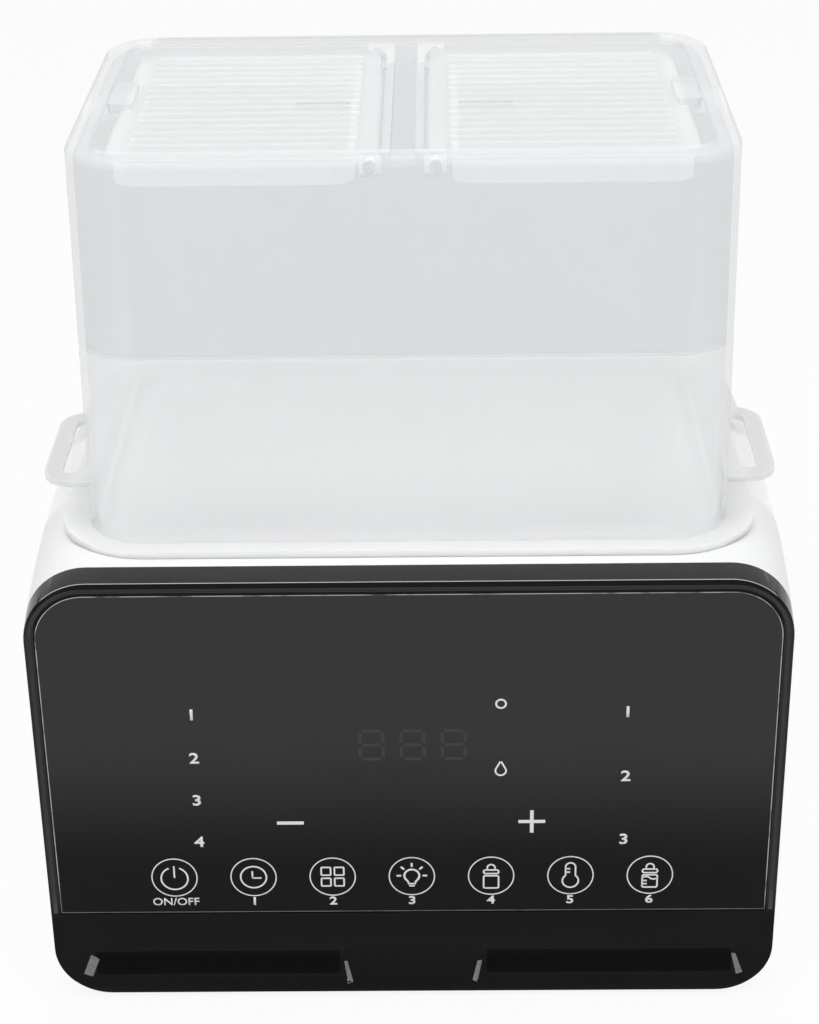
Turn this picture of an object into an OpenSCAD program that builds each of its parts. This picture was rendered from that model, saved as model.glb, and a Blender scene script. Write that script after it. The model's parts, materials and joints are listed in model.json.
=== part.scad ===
// Double bottle warmer: two bottles stand in a steam basket that hangs in a heated tank,
// under a tall frosted hood with two flip lids.
// Millimetres. Z is up, the front faces -Y, the origin is on the floor below the middle.

/* [Base] */
// Width of the base across its front face
base_w = 210; // [195:1:240]
// How far each side swells out half way back
side_bulge = 3.5; // [1:0.5:6]
// Depth of the base from its front face to its back
base_d = 158; // [148:1:190]
// Height of the top deck above the floor
base_top = 140; // [125:1:170]
// Height that the feet lift the base off the floor
foot_drop = 2; // [1.5:0.5:4]
// Radius of the two upper side edges
shoulder_r = 18; // [12:1:20]
// Radius of the two lower side edges
heel_r = 16; // [10:1:18]
// Radius of the upright corners at the back
back_corner_r = 24; // [22:1:30]
// Radius of the top and bottom edges at the back
back_edge_r = 10; // [6:1:10]
// Thickness of the housing's walls
wall = 2.4; // [2:0.2:3]
// Thickness of the housing's top deck
deck_t = 4; // [3.6:0.2:6]
// Thickness of the housing's sole
sole_t = 5; // [4.6:0.2:7]
// Height of the room for heater and power board, from the sole's underside to the tank floor
plant_h = 48; // [46:1:60]

/* [Front panel] */
// Depth of the black front panel, edge included
fascia_d = 9.5; // [8.5:0.5:12]
// Thickness of the front panel's face and edge
fascia_t = 3.2; // [3:0.1:4]
// Width of the groove round the film
groove_w = 1.2; // [0.6:0.1:1.4]
// Depth of the groove round the film
groove_depth = 0.8; // [0.4:0.1:1.2]
// Width of the flat ring between groove and film
ring_w = 1; // [0.6:0.1:1.2]
// Thickness of the printed film
film_t = 0.4; // [0.2:0.1:0.6]
// Depth of the recess that holds the film
film_sink = 0.6; // [0.4:0.1:1]
// Black border left of and right of the film
film_side = 3; // [2:0.5:6]
// Black border above the film
film_head = 4; // [3:0.5:8]
// Height of the film's lower edge above the floor
film_foot = 31; // [26:1:36]
// Number of round touch keys in the row
key_count = 7; // [5:1:7]
// Distance between neighbouring touch keys
key_pitch = 22.8; // [16:0.2:24]
// Height of the row of touch keys above the floor
key_z = 43.3; // [40:0.1:50]
// Distance of the plus and minus keys from the middle
adjust_x = 34.3; // [28:0.1:45]
// Height of the plus and minus keys above the floor
adjust_z = 62; // [58:0.5:68]
// Width of the lit display
display_w = 46; // [36:1:52]
// Height of the lit display
display_h = 22; // [16:1:26]
// Height of the display's middle above the floor
display_z = 88; // [84:1:96]
// Length of each finger scoop along the chin
scoop_l = 79; // [60:1:80]
// Gap between the two finger scoops
scoop_gap = 36; // [30:1:46]
// Height of the scoops' lower edge above the floor
scoop_foot = 5.6; // [5:0.1:8]
// Height of the scoops
scoop_h = 14; // [10:0.5:16]
// Depth of the scoops
scoop_depth = 2; // [1:0.1:2.2]
// Run of the slope at the scoops' ends
scoop_end = 3.6; // [2:0.1:6]
// Run of the slope at the scoops' upper edge
scoop_brow = 4; // [2:0.1:6]
// Run of the slope at the scoops' lower edge
scoop_lip = 1.6; // [1:0.1:3]

/* [Hood] */
// Distance from the base's side, at the front, to the hood's rim
hood_side = 16.6; // [15:0.1:22]
// Distance from the base's front face to the hood's rim
hood_front = 20.3; // [19:0.1:26]
// Height of the hood
hood_h = 109.8; // [95:0.1:150]
// Outer corner radius of the hood at its rim
hood_corner_r = 16; // [14:1:22]
// How far each wall leans in from foot to rim
hood_draft = 1.1; // [0:0.1:3]
// Thickness of the hood's walls
hood_t = 2; // [1.6:0.1:2.6]
// Width of the flat rim round the top
rim_w = 6.4; // [5:0.1:8]
// Thickness of the rim
rim_t = 2; // [1.8:0.1:3]
// Radius of the rim's outer top edge
lip_r = 1.6; // [0.5:0.1:1.7]

/* [Lids] */
// Depth of the lids' top face below the rim
lid_drop = 1.8; // [1.2:0.1:3]
// Gap from the rim to the lids' outer ends
lid_end_gap = 3.4; // [2.8:0.1:5]
// Gap from the rim to the lids' front and back edges
lid_side_gap = 3.8; // [3:0.1:6]
// Thickness of the lids' top plate
lid_t = 2; // [1.8:0.1:2.6]
// Corner radius of the lids' outer ends
lid_corner_r = 8; // [6:0.5:12]
// Radius of the lids' upper edge
lid_edge_r = 1.6; // [0.6:0.1:1.6]
// Distance of the lids' skirt from the plate's edge
skirt_inset = 2.2; // [1.5:0.1:4]
// Thickness of the lids' skirt
skirt_t = 1.6; // [1.2:0.1:2.2]
// Depth of the lids' skirt below the top face
skirt_h = 9.6; // [6:0.2:14]
// Number of ribs on each lid
rib_count = 16; // [10:1:16]
// Distance between neighbouring ribs
rib_pitch = 5.5; // [4:0.1:5.6]
// Radius of a rib's round back
rib_r = 1.2; // [0.8:0.1:1.4]
// Height of the ribs above the lids' top face
rib_rise = 0.5; // [0.2:0.1:0.8]
// Distance of each hinge axis from the middle
hinge_x = 8.6; // [7.6:0.1:11]
// Radius of the lids' hinge barrel
barrel_r = 2.8; // [2.2:0.1:3.2]
// Radius of the hinge pins
pin_r = 1.5; // [1:0.1:1.8]
// Length of the hinge pins
pin_l = 4.6; // [3:0.1:5]
// Width of the finger tab on each lid
tab_w = 21.5; // [16:0.5:30]
// Length of the steam slot in each lid
slot_l = 15; // [8:1:24]
// Width of the steam slot
slot_w = 1.4; // [1:0.1:2]
// Distance of the steam slot's middle from the hood's middle
slot_x = 22.5; // [20:0.5:36]

/* [Basket] */
// How far the basket's flange reaches past the hood's sides
flange_side = 8; // [5:0.5:9]
// How far the basket's flange reaches past the hood's front and back
flange_front = 5.5; // [3:0.5:7]
// Thickness of the basket's flange and handles
flange_t = 1.9; // [1.8:0.1:3]
// Corner radius of the basket's flange
flange_corner_r = 25; // [20:1:32]
// How far the handles reach past the flange
handle_reach = 9.2; // [6:0.1:10.5]
// Height of the handles' underside above the flange's underside
handle_lift = 1.7; // [0:0.1:2.5]
// Width of the handles
handle_w = 48.6; // [44:0.2:70]
// Corner radius of the handles
handle_r = 9; // [5:0.5:9.5]
// Length of the slot in each handle
grip_l = 37; // [20:1:40]
// Width of the slot in each handle
grip_w = 5; // [2:0.1:6]
// Thickness of the basket's wall and floor
basket_t = 1.8; // [1.5:0.1:2.4]
// How far the basket's walls lean in from top to floor
basket_draft = 1.5; // [0:0.1:3]
// Height of the water room below the basket's floor
water_room = 10; // [8:0.5:20]
// Height of the rib that keeps the hood in place
locator_h = 3; // [2:0.2:5]
// Outer radius of the rings that centre the bottles
ring_r = 36; // [30:0.5:37]
// Height of the bottle rings
ring_h = 4; // [2:0.5:8]
// Radius of the steam holes in the basket's floor
hole_r = 4.5; // [2.5:0.1:5]

/* [Tank and heater] */
// Free space between basket and tank wall
basket_gap = 1.5; // [1:0.1:3]
// Thickness of the tank's wall and floor
tank_t = 2; // [1.6:0.1:2.6]
// Width of the tank's rim
tank_rim = 5; // [4:0.5:5.5]
// Thickness of the tank's rim
tank_rim_t = 2.2; // [1.8:0.1:2.6]
// Height of the tank's rim above the deck, where the basket rests
rim_proud = 0.3; // [0.2:0.1:1]
// Distance from the tank's wall to the heating plate's edge
plate_inset = 17; // [16:0.5:22]
// Thickness of the heating plate
plate_t = 3; // [2:0.2:4]
// Width of the sealing band round the heating plate
seal_w = 6; // [5:0.5:8]
// Thickness of the silicone seal
seal_t = 1.5; // [1:0.1:2]
// Thickness of the steel clamp frame and strap
clamp_t = 1.2; // [0.8:0.1:1.5]
// Length of the heater block
heater_l = 56; // [40:1:60]
// Width of the heater block
heater_w = 34; // [24:1:36]
// Height of the heater block
heater_h = 8; // [6:0.5:10]

/* [Cover and boards] */
// Distance from the base's side, at the front, to the bottom cover
cover_side = 22; // [21:0.5:28]
// Distance from the base's front face to the bottom cover
cover_front = 17; // [16:0.5:24]
// Thickness of the bottom cover
cover_t = 2.6; // [2.4:0.1:3]
// Width of the ledge that the cover is screwed to
ledge_w = 8; // [7.5:0.5:10]
// Radius of the rubber feet
foot_r = 7; // [5:0.5:9]
// Thickness of the circuit boards
board_t = 1.6; // [1.2:0.2:2]
// Length of the power board
power_l = 100; // [80:1:110]
// Width of the power board
power_w = 60; // [50:1:66]
// Height of the posts under the power board
power_post_h = 6; // [4:0.5:7]
// Distance from the base's side, at the front, to the control board
control_side = 21; // [20.5:0.5:30]
// Distance from the front panel's inner face to the control board
control_gap = 8.4; // [8:0.1:9]
// Radius of the screws' shanks
screw_r = 1.4; // [1:0.1:1.6]
// Bore radius of the cord gland
gland_bore_r = 3.3; // [2.5:0.1:4]
// Height of the cord gland above the floor
gland_z = 24; // [20:1:30]

/* [Hidden] */
$fn = 64;
side_fn = 2400;

// Clearances shared by the pieces that fit each other
fit = 0.3;
pin_fit = 0.2;
thread_fit = 0.05;
cut = 1;

// Base outline
front_y = -base_d / 2;
back_y = base_d / 2;
joint_y = front_y + fascia_d;
side_mid = base_w / 2 + side_bulge;
side_r = (pow(base_d / 2, 2) + pow(side_bulge, 2)) / (2 * side_bulge);
function side_x(y) = side_mid - side_r + sqrt(pow(side_r, 2) - pow(y, 2));
side_sweep = asin(base_d / (side_r - side_mid));
corner_y = back_y - back_corner_r;
corner_x = side_x(corner_y) - back_corner_r + pin_fit;

// Hood, rim and lids
hood_w = base_w - 2 * hood_side;
hood_d = base_d - 2 * hood_front;
seat_z = base_top + rim_proud;
hood_foot = seat_z + flange_t;
hood_top = hood_foot + hood_h;
lid_top = hood_top - lid_drop;
hinge_z = lid_top - barrel_r;
rail_out = hinge_x - barrel_r - fit;
rail_t = 2.2;
rail_h = 6.7;
lid_end = hood_w / 2 - rim_w - lid_end_gap;
lid_half_d = hood_d / 2 - rim_w - lid_side_gap;
rib_end = 6.5;
rib_start = 3.5;
slit_l = 14;
slit_w = 1.3;
slit_back = 5.5;
tab_t = 2.6;
tab_rise = lid_drop;
tab_r = 2;
tab_end = hood_w / 2 - rim_w - 2 * fit;
tab_root = 4;
shelf_reach = 2;
shelf_t = 2;
skirt_w = lid_end - skirt_inset - hinge_x - barrel_r - skirt_t;
skirt_mid = lid_end - skirt_inset - skirt_w / 2;
lug_gap = 0.5;

// Basket and tank
flange_w = hood_w + 2 * hood_draft + 2 * flange_side;
flange_d = hood_d + 2 * hood_draft + 2 * flange_front;
locator_w = hood_w + 2 * hood_draft - 2 * hood_t - 2 * fit;
locator_d = hood_d + 2 * hood_draft - 2 * hood_t - 2 * fit;
locator_t = 1.4;
locator_r = hood_corner_r + hood_draft - hood_t - fit;
basket_step = 5.6;
basket_w = locator_w - 2 * basket_step;
basket_d = locator_d - 2 * basket_step;
basket_r = 14;
tank_in_w = basket_w + 2 * basket_gap;
tank_in_d = basket_d + 2 * basket_gap;
tank_in_r = basket_r + basket_gap;
tank_w = tank_in_w + 2 * tank_t;
tank_d = tank_in_d + 2 * tank_t;
tank_r = tank_in_r + tank_t;
tank_floor = foot_drop + plant_h;
basket_floor = tank_floor + water_room;
bottle_ring_gap = 4;
bottle_x = ring_r + bottle_ring_gap / 2;
bottle_ring_t = 1.6;
hole_circle = 22;
holes_round = 6;
handle_end = flange_w / 2 + handle_reach;
handle_top = seat_z + handle_lift + flange_t;
handle_gap = 1.5;
handle_root = hood_w / 2 + hood_draft + handle_gap;
grip_out = 1.6;
grip_x = flange_w / 2 + grip_out;

// Heating plate stack, from the tank's floor down
plate_w = tank_in_w - 2 * plate_inset;
plate_d = tank_in_d - 2 * plate_inset;
plate_r = 12;
seal_top = tank_floor - tank_t;
plate_top = seal_top - seal_t;
plate_bottom = plate_top - plate_t;
clamp_bottom = plate_bottom - clamp_t;
clamp_edge = 7;
clamp_w = plate_w + 2 * clamp_edge;
clamp_d = plate_d + 2 * clamp_edge;
clamp_land = 8;
clamp_boss_r = 3;
clamp_fix_x = plate_w / 2 + clamp_boss_r + fit;
clamp_fix_y = plate_d / 2 + clamp_boss_r + fit;
heater_bottom = plate_bottom - heater_h;
strap_w = 14;
strap_foot = 7;
strap_leg_y = plate_d / 2 - clamp_land + fit;
sensor_r = 3;
sensor_h = 7;
cutout_r = 8;
cutout_h = 9;
cutout_lip = 1;
sensor_x = (heater_l / 2 + plate_w / 2 - clamp_land) / 2;

// Bottom cover and power board
cover_w = base_w - 2 * cover_side;
cover_d = base_d - 2 * cover_front;
cover_r = 10;
cover_top = foot_drop + cover_t;
cover_fix_x = cover_w / 2 - ledge_w / 2;
cover_fix_y = cover_d / 2 - cover_r - ledge_w / 2;
post_r = 3.4;
post_h = 10;
foot_sink = 1;
foot_in_x = 24;
foot_in_y = 18;
foot_x = cover_w / 2 - foot_in_x;
foot_y = cover_d / 2 - foot_in_y;
vent_count = 7;
vent_pitch = 8;
vent_w = 3;
vent_l = 20;
power_z = cover_top + power_post_h;
board_margin = 5;
power_fix_x = power_l / 2 - board_margin;
power_fix_y = power_w / 2 - board_margin;
parts_z = power_z + board_t;
core_size = [22, 20, 5];
winding_size = [15, 18, 8];
relay_size = [19, 15.5, 15];
capacitor_r = 5;
capacitor_h = 16;
terminal_size = [26, 10, 11];
terminal_pitch = 8;
terminal_hole_r = 2.2;
header_size = [16, 6, 8];
part_gap = 6;

// Front panel and control board
film_w = base_w - 2 * film_side;
film_top = base_top - film_head;
film_r = shoulder_r - film_head;
panel_back = front_y + fascia_t;
control_y = panel_back + control_gap;
control_w = base_w - 2 * control_side;
control_head = 8;
boss_r = 3.4;
pad_r = 4;
control_top = base_top - deck_t - control_head;
control_fix_x = control_w / 2 - board_margin;
control_fix_z = [key_z - pad_r - fit - boss_r, control_top - board_margin];
control_foot = control_fix_z[0] - board_margin;
fascia_fix_in = 12;
fascia_fix_low = 34;
fascia_fix_high = 30;
fascia_fix_x = base_w / 2 - fascia_fix_in;
fascia_fix_z = [foot_drop + fascia_fix_low, base_top - fascia_fix_high];
lug_w = 10;
lug_t = 3;
head_r = 2.6;
head_h = 1.8;
led_x = 60;
lamp_size = [3.5, 1.9, 2.8];
led_left_z = [56, 70, 84, 98];
led_right_z = [56, 77, 98];
window_fit = 0.4;
gland_r = 5.5;
gland_flange_r = 8;
gland_flange_t = 2;
gland_x = 0;

// Repeated shapes

// Flat outline with four round corners
module round_rect(w, d, r) {
    square([w - 2 * r, d], center = true);
    square([w, d - 2 * r], center = true);
    for (sx = [-1, 1], sy = [-1, 1])
        translate([sx * (w / 2 - r), sy * (d / 2 - r)]) circle(r);
}

// Plate with four round corners, standing on z
module round_plate(w, d, r, z, h) {
    translate([0, 0, z]) linear_extrude(h) round_rect(w, d, r);
}

// Carries a profile round a rounded rectangle; x = 0 in the profile is the outline itself
module sweep_round(w, d, r) {
    for (i = [0:3]) {
        reach = i % 2 == 0 ? w / 2 : d / 2;
        run = (i % 2 == 0 ? d : w) - 2 * r;
        rotate([0, 0, 90 * i]) {
            translate([reach, run / 2, 0]) rotate([90, 0, 0]) linear_extrude(run) children();
            translate([reach - r, run / 2, 0]) rotate_extrude(angle = 90) translate([r, 0]) children();
        }
    }
}

// Round bar along Y
module bar_y(x, y, z, length, r) {
    translate([x, y, z]) rotate([-90, 0, 0]) cylinder(h = length, r = r);
}

// Block with its middle at x and y, standing on z
module block(x, y, z, size) {
    translate([x - size[0] / 2, y - size[1] / 2, z]) cube(size);
}

// One copy of the child at each of the four places
module at_corners(x, y) {
    for (sx = [-1, 1], sy = [-1, 1]) translate([sx * x, sy * y, 0]) children();
}

// Pan head screw, head upwards, shank down from z = 0
module screw(length) {
    cylinder(h = head_h, r = head_r);
    translate([0, 0, -length]) cylinder(h = length, r = screw_r);
}

// Base form

// Section from start out to r with a round upper and a round lower outer corner
module round_section(start, r, top_r, low_r, inset) {
    low = foot_drop + inset;
    high = base_top - inset;
    translate([start, low + low_r]) square([r - start, high - low - top_r - low_r]);
    translate([start, low]) square([r - low_r - start, low_r]);
    translate([start, high - top_r]) square([r - top_r - start, top_r]);
    translate([r - top_r, high - top_r]) circle(top_r, $fn = 64);
    translate([r - low_r, low + low_r]) circle(low_r, $fn = 64);
}

// Block that ends at the right in the swelling side wall
module side_body(inset) {
    translate([side_mid - side_r, 0, 0]) rotate([0, 0, -side_sweep])
        rotate_extrude(angle = 2 * side_sweep, $fn = side_fn)
            round_section(side_r - 3 * side_mid, side_r - inset, shoulder_r - inset,
                heel_r - inset, inset);
}

// Everything in front of the back corners, then the back edge carried round from side to side
module back_body(inset) {
    translate([-base_w, front_y - cut, 0])
        cube([2 * base_w, corner_y - front_y + cut, base_top + cut]);
    translate([-corner_x, corner_y, 0]) rotate([90, 0, 90]) linear_extrude(2 * corner_x)
        back_section(inset);
    for (s = [0, 1]) mirror([s, 0, 0]) translate([corner_x, corner_y, 0])
        rotate_extrude(angle = 90) back_section(inset);
}

// Section of the back edge, from the corners' middle line out to the wall
module back_section(inset) {
    edge_r = back_edge_r - inset;
    round_section(0, back_corner_r - inset, edge_r, edge_r, inset);
}

// Whole outer form of the base, or the same form drawn in by a wall
module base_form(inset) {
    intersection() {
        side_body(inset);
        mirror([1, 0, 0]) side_body(inset);
        back_body(inset);
    }
}

// Slab between two planes across the depth
module depth_slab(y0, y1, z0, z1) {
    translate([-base_w, y0, z0]) cube([2 * base_w, y1 - y0, z1 - z0]);
}

// Base pieces

module outer_housing() {
    color("whitesmoke") difference() {
        union() {
            difference() {
                intersection() {
                    base_form(0);
                    depth_slab(joint_y, back_y + cut, 0, base_top + cut);
                }
                intersection() {
                    base_form(wall);
                    depth_slab(front_y, back_y, foot_drop + sole_t, base_top - deck_t);
                }
            }
            fascia_lugs();
            at_corners(cover_fix_x, cover_fix_y)
                translate([0, 0, cover_top]) cylinder(h = sole_t - cover_t + post_h, r = post_r);
        }
        round_plate(tank_w + 2 * fit, tank_d + 2 * fit, tank_r + fit, base_top - deck_t - cut,
            deck_t + 2 * cut);
        round_plate(tank_w + 2 * tank_rim + 2 * fit, tank_d + 2 * tank_rim + 2 * fit,
            tank_r + tank_rim + fit, base_top - tank_rim_t, tank_rim_t + cut);
        round_plate(cover_w + 2 * fit, cover_d + 2 * fit, cover_r + fit, 0, cover_top);
        round_plate(cover_w - 2 * ledge_w, cover_d - 2 * ledge_w, cover_r / 2, 0,
            foot_drop + sole_t + cut);
        at_corners(cover_fix_x, cover_fix_y)
            cylinder(h = foot_drop + sole_t + post_h - cut, r = screw_r + thread_fit);
        bar_y(gland_x, back_y - wall - cut, gland_z, wall + 2 * cut, gland_r + thread_fit);
        for (s = [-1, 1], z = fascia_fix_z)
            bar_y(s * fascia_fix_x, joint_y - cut, z, lug_t + 2 * cut, screw_r + pin_fit);
    }
}

// Lugs inside the housing's front edge, where the front panel is screwed on
module fascia_lugs() {
    inner = fascia_fix_x - lug_w / 2;
    outer = side_x(joint_y) - wall / 2;
    for (s = [-1, 1], z = fascia_fix_z)
        block(s * (inner + outer) / 2, joint_y + lug_t / 2, z - lug_w / 2,
            [outer - inner, lug_t, lug_w]);
}

module front_fascia() {
    boss_l = fascia_d - fascia_t;
    color([0.06, 0.06, 0.065]) difference() {
        union() {
            difference() {
                intersection() {
                    base_form(0);
                    depth_slab(front_y, joint_y, 0, base_top + cut);
                }
                intersection() {
                    base_form(fascia_t);
                    depth_slab(panel_back, joint_y + cut, 0, base_top);
                }
            }
            for (s = [-1, 1], z = fascia_fix_z)
                bar_y(s * fascia_fix_x, panel_back - cut, z, boss_l + cut, boss_r);
            for (s = [-1, 1], z = control_fix_z)
                bar_y(s * control_fix_x, panel_back - cut, z, control_gap + cut, boss_r);
        }
        film_form(film_w + 2 * fit, film_top + fit, film_r + fit, film_foot - fit,
            front_y - cut, film_sink + cut);
        block(0, front_y, display_z - display_h / 2 - window_fit,
            [display_w + 2 * window_fit, 3 * fascia_t, display_h + 2 * window_fit]);
        for (s = [-1, 1]) finger_scoop(s);
        film_groove();
        for (s = [-1, 1], z = fascia_fix_z)
            bar_y(s * fascia_fix_x, joint_y - boss_l, z, boss_l + cut, screw_r + thread_fit);
        for (s = [-1, 1], z = control_fix_z)
            bar_y(s * control_fix_x, panel_back, z, control_gap + cut, screw_r + thread_fit);
    }
}

// Long scoop in the chin with four sloping walls
module finger_scoop(s) {
    x0 = scoop_gap / 2;
    x1 = x0 + scoop_l;
    z0 = scoop_foot;
    z1 = z0 + scoop_h;
    floor_y = front_y + scoop_depth;
    intersection() {
        mirror([s < 0 ? 1 : 0, 0, 0]) linear_extrude(base_top)
            polygon([[x0 - scoop_end, front_y - scoop_depth], [x1 + scoop_end, front_y - scoop_depth],
                [x1 - scoop_end, floor_y], [x0 + scoop_end, floor_y]]);
        translate([-base_w, 0, 0]) rotate([90, 0, 90]) linear_extrude(2 * base_w)
            polygon([[front_y - scoop_depth, z0 - scoop_lip], [floor_y, z0 + scoop_lip],
                [floor_y, z1 - scoop_brow], [front_y - scoop_depth, z1 + scoop_brow]]);
    }
}

// Groove round the film's upper corners and sides
module film_groove() {
    side = ring_w + groove_w;
    difference() {
        film_form(film_w + 2 * side, film_top + side, film_r + side, film_foot, front_y - cut,
            groove_depth + cut);
        film_form(film_w + 2 * ring_w, film_top + ring_w, film_r + ring_w, film_foot - cut,
            front_y - 2 * cut, groove_depth + 4 * cut);
    }
}

// Film outline: round upper corners, square lower corners
module film_form(w, top, r, foot, y, t) {
    translate([0, y + t, 0]) rotate([90, 0, 0]) linear_extrude(t) {
        translate([-w / 2, foot]) square([w, top - r - foot]);
        translate([r - w / 2, top - r - cut]) square([w - 2 * r, r + cut]);
        for (s = [-1, 1]) translate([s * (w / 2 - r), top - r]) circle(r);
    }
}

module panel_film() {
    color([0.12, 0.12, 0.125])
        film_form(film_w, film_top, film_r, film_foot, front_y + film_sink - film_t, film_t);
}

module control_board() {
    color("darkgreen") difference() {
        block(0, control_y + board_t / 2, control_foot,
            [control_w, board_t, control_top - control_foot]);
        for (s = [-1, 1], z = control_fix_z)
            bar_y(s * control_fix_x, control_y - cut, z, board_t + 2 * cut, screw_r + pin_fit);
    }
}

module led_display() {
    depth = control_y - front_y - film_sink;
    color([0.85, 0.85, 0.83])
        block(0, control_y - depth / 2, display_z - display_h / 2, [display_w, depth, display_h]);
}

// One lamp behind each word or number at the sides of the panel
module indicator_leds() {
    color("ivory") {
        for (z = led_left_z) block(-led_x, control_y - lamp_size[1] / 2, z, lamp_size);
        for (z = led_right_z) block(led_x, control_y - lamp_size[1] / 2, z, lamp_size);
    }
}

// Conductive foam pads that carry each touch key to the board
module touch_pads() {
    color("dimgray") {
        for (i = [0:key_count - 1])
            bar_y((i - (key_count - 1) / 2) * key_pitch, panel_back, key_z, control_gap, pad_r);
        for (s = [-1, 1]) bar_y(s * adjust_x, panel_back, adjust_z, control_gap, pad_r);
    }
}

module control_board_screws() {
    color("silver") for (s = [-1, 1], z = control_fix_z)
        translate([s * control_fix_x, control_y + board_t, z]) rotate([-90, 0, 0])
            screw(control_gap);
}

module fascia_screws() {
    color("silver") for (s = [-1, 1], z = fascia_fix_z)
        translate([s * fascia_fix_x, joint_y + lug_t, z]) rotate([-90, 0, 0])
            screw(lug_t + fascia_d - fascia_t - cut);
}

module water_tank() {
    color("gainsboro") difference() {
        union() {
            round_plate(tank_w, tank_d, tank_r, tank_floor - tank_t,
                seat_z - tank_floor + tank_t);
            round_plate(tank_w + 2 * tank_rim, tank_d + 2 * tank_rim, tank_r + tank_rim,
                base_top - tank_rim_t, tank_rim_t + rim_proud);
            at_corners(clamp_fix_x, clamp_fix_y)
                translate([0, 0, plate_bottom])
                    cylinder(h = tank_floor - plate_bottom - tank_t / 2, r = clamp_boss_r);
        }
        round_plate(tank_in_w, tank_in_d, tank_in_r, tank_floor, base_top);
        round_plate(plate_w - 2 * seal_w, plate_d - 2 * seal_w, plate_r / 2, plate_bottom,
            tank_floor);
        at_corners(clamp_fix_x, clamp_fix_y)
            translate([0, 0, plate_bottom - cut])
                cylinder(h = plate_t + seal_t + cut, r = screw_r + thread_fit);
    }
}

// Heating plate with a raised pad that stands in the tank's floor
module heating_plate() {
    color("lightgray") {
        round_plate(plate_w, plate_d, plate_r, plate_bottom, plate_t);
        round_plate(plate_w - 2 * seal_w - 2 * fit, plate_d - 2 * seal_w - 2 * fit,
            plate_r / 2 - fit, plate_top - plate_t / 2, tank_floor - plate_top + plate_t / 2);
    }
}

module plate_gasket() {
    color("indianred") sweep_round(plate_w, plate_d, plate_r)
        translate([-seal_w + fit, plate_top]) square([seal_w - fit, seal_t]);
}

// Steel frame that presses the heating plate up against its seal
module plate_clamp() {
    color("slategray") difference() {
        round_plate(clamp_w, clamp_d, clamp_edge, clamp_bottom, clamp_t);
        round_plate(plate_w - 2 * clamp_land, plate_d - 2 * clamp_land, clamp_edge / 2,
            clamp_bottom - cut, clamp_t + 2 * cut);
        at_corners(clamp_fix_x, clamp_fix_y)
            translate([0, 0, clamp_bottom - cut])
                cylinder(h = clamp_t + 2 * cut, r = screw_r + pin_fit);
    }
}

module clamp_screws() {
    color("silver") at_corners(clamp_fix_x, clamp_fix_y)
        translate([0, 0, clamp_bottom]) rotate([180, 0, 0]) screw(clamp_t + plate_t + seal_t - fit);
}

module ptc_heater() {
    color("silver") block(0, 0, heater_bottom, [heater_l, heater_w, heater_h]);
}

// Spring strap under the heater block, its feet under the clamp frame
module heater_strap() {
    leg_h = clamp_bottom - heater_bottom + clamp_t;
    low = heater_bottom - clamp_t;
    color("darkgray") {
        block(0, 0, low, [strap_w, 2 * strap_leg_y + 2 * clamp_t, clamp_t]);
        for (s = [-1, 1]) {
            block(0, s * (strap_leg_y + clamp_t / 2), low, [strap_w, clamp_t, leg_h]);
            block(0, s * (strap_leg_y + strap_foot / 2), clamp_bottom - clamp_t,
                [strap_w, strap_foot, clamp_t]);
        }
    }
}

// Bead that reads the heating plate's temperature
module temperature_sensor() {
    color("orange") translate([-sensor_x, 0, plate_bottom - sensor_h])
        cylinder(h = sensor_h, r = sensor_r);
}

// Bimetal switch that opens if the plate runs dry
module thermal_cutout() {
    color("saddlebrown") translate([sensor_x, 0, plate_bottom]) {
        translate([0, 0, -cutout_h]) cylinder(h = cutout_h, r = cutout_r);
        translate([0, 0, -clamp_t]) cylinder(h = clamp_t, r = cutout_r + cutout_lip);
    }
}

module power_board() {
    color("darkgreen") difference() {
        block(0, 0, power_z, [power_l, power_w, board_t]);
        at_corners(power_fix_x, power_fix_y)
            translate([0, 0, power_z - cut]) cylinder(h = board_t + 2 * cut, r = screw_r + pin_fit);
    }
}

module power_board_screws() {
    color("silver") at_corners(power_fix_x, power_fix_y)
        translate([0, 0, parts_z]) screw(board_t + power_post_h - cut);
}

// Windings between two halves of a ferrite core
module transformer() {
    x = -capacitor_r - part_gap - core_size[0] / 2;
    color("goldenrod") {
        block(x, 0, parts_z, core_size);
        block(x, 0, parts_z + core_size[2], winding_size);
        block(x, 0, parts_z + core_size[2] + winding_size[2], core_size);
    }
}

module relay() {
    color("royalblue")
        block(capacitor_r + part_gap + relay_size[0] / 2, 0, parts_z, relay_size);
}

module filter_capacitor() {
    color("midnightblue") translate([0, 0, parts_z])
        cylinder(h = capacitor_h, r = capacitor_r);
}

// Block with three screw terminals for the mains leads
module terminal_block() {
    y = power_w / 2 - board_margin - terminal_size[1] / 2;
    color("seagreen") difference() {
        block(0, y, parts_z, terminal_size);
        for (i = [-1:1]) translate([terminal_pitch * i, y, parts_z + terminal_size[2] / 2])
            cylinder(h = terminal_size[2], r = terminal_hole_r);
    }
}

// Plug headers that join the two boards
module board_connectors() {
    color("ivory") {
        block(0, -power_w / 2 + board_margin + header_size[1] / 2, parts_z, header_size);
        block(0, control_y + board_t + header_size[2] / 2, control_foot + board_margin,
            [header_size[0], header_size[2], header_size[1]]);
    }
}

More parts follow.
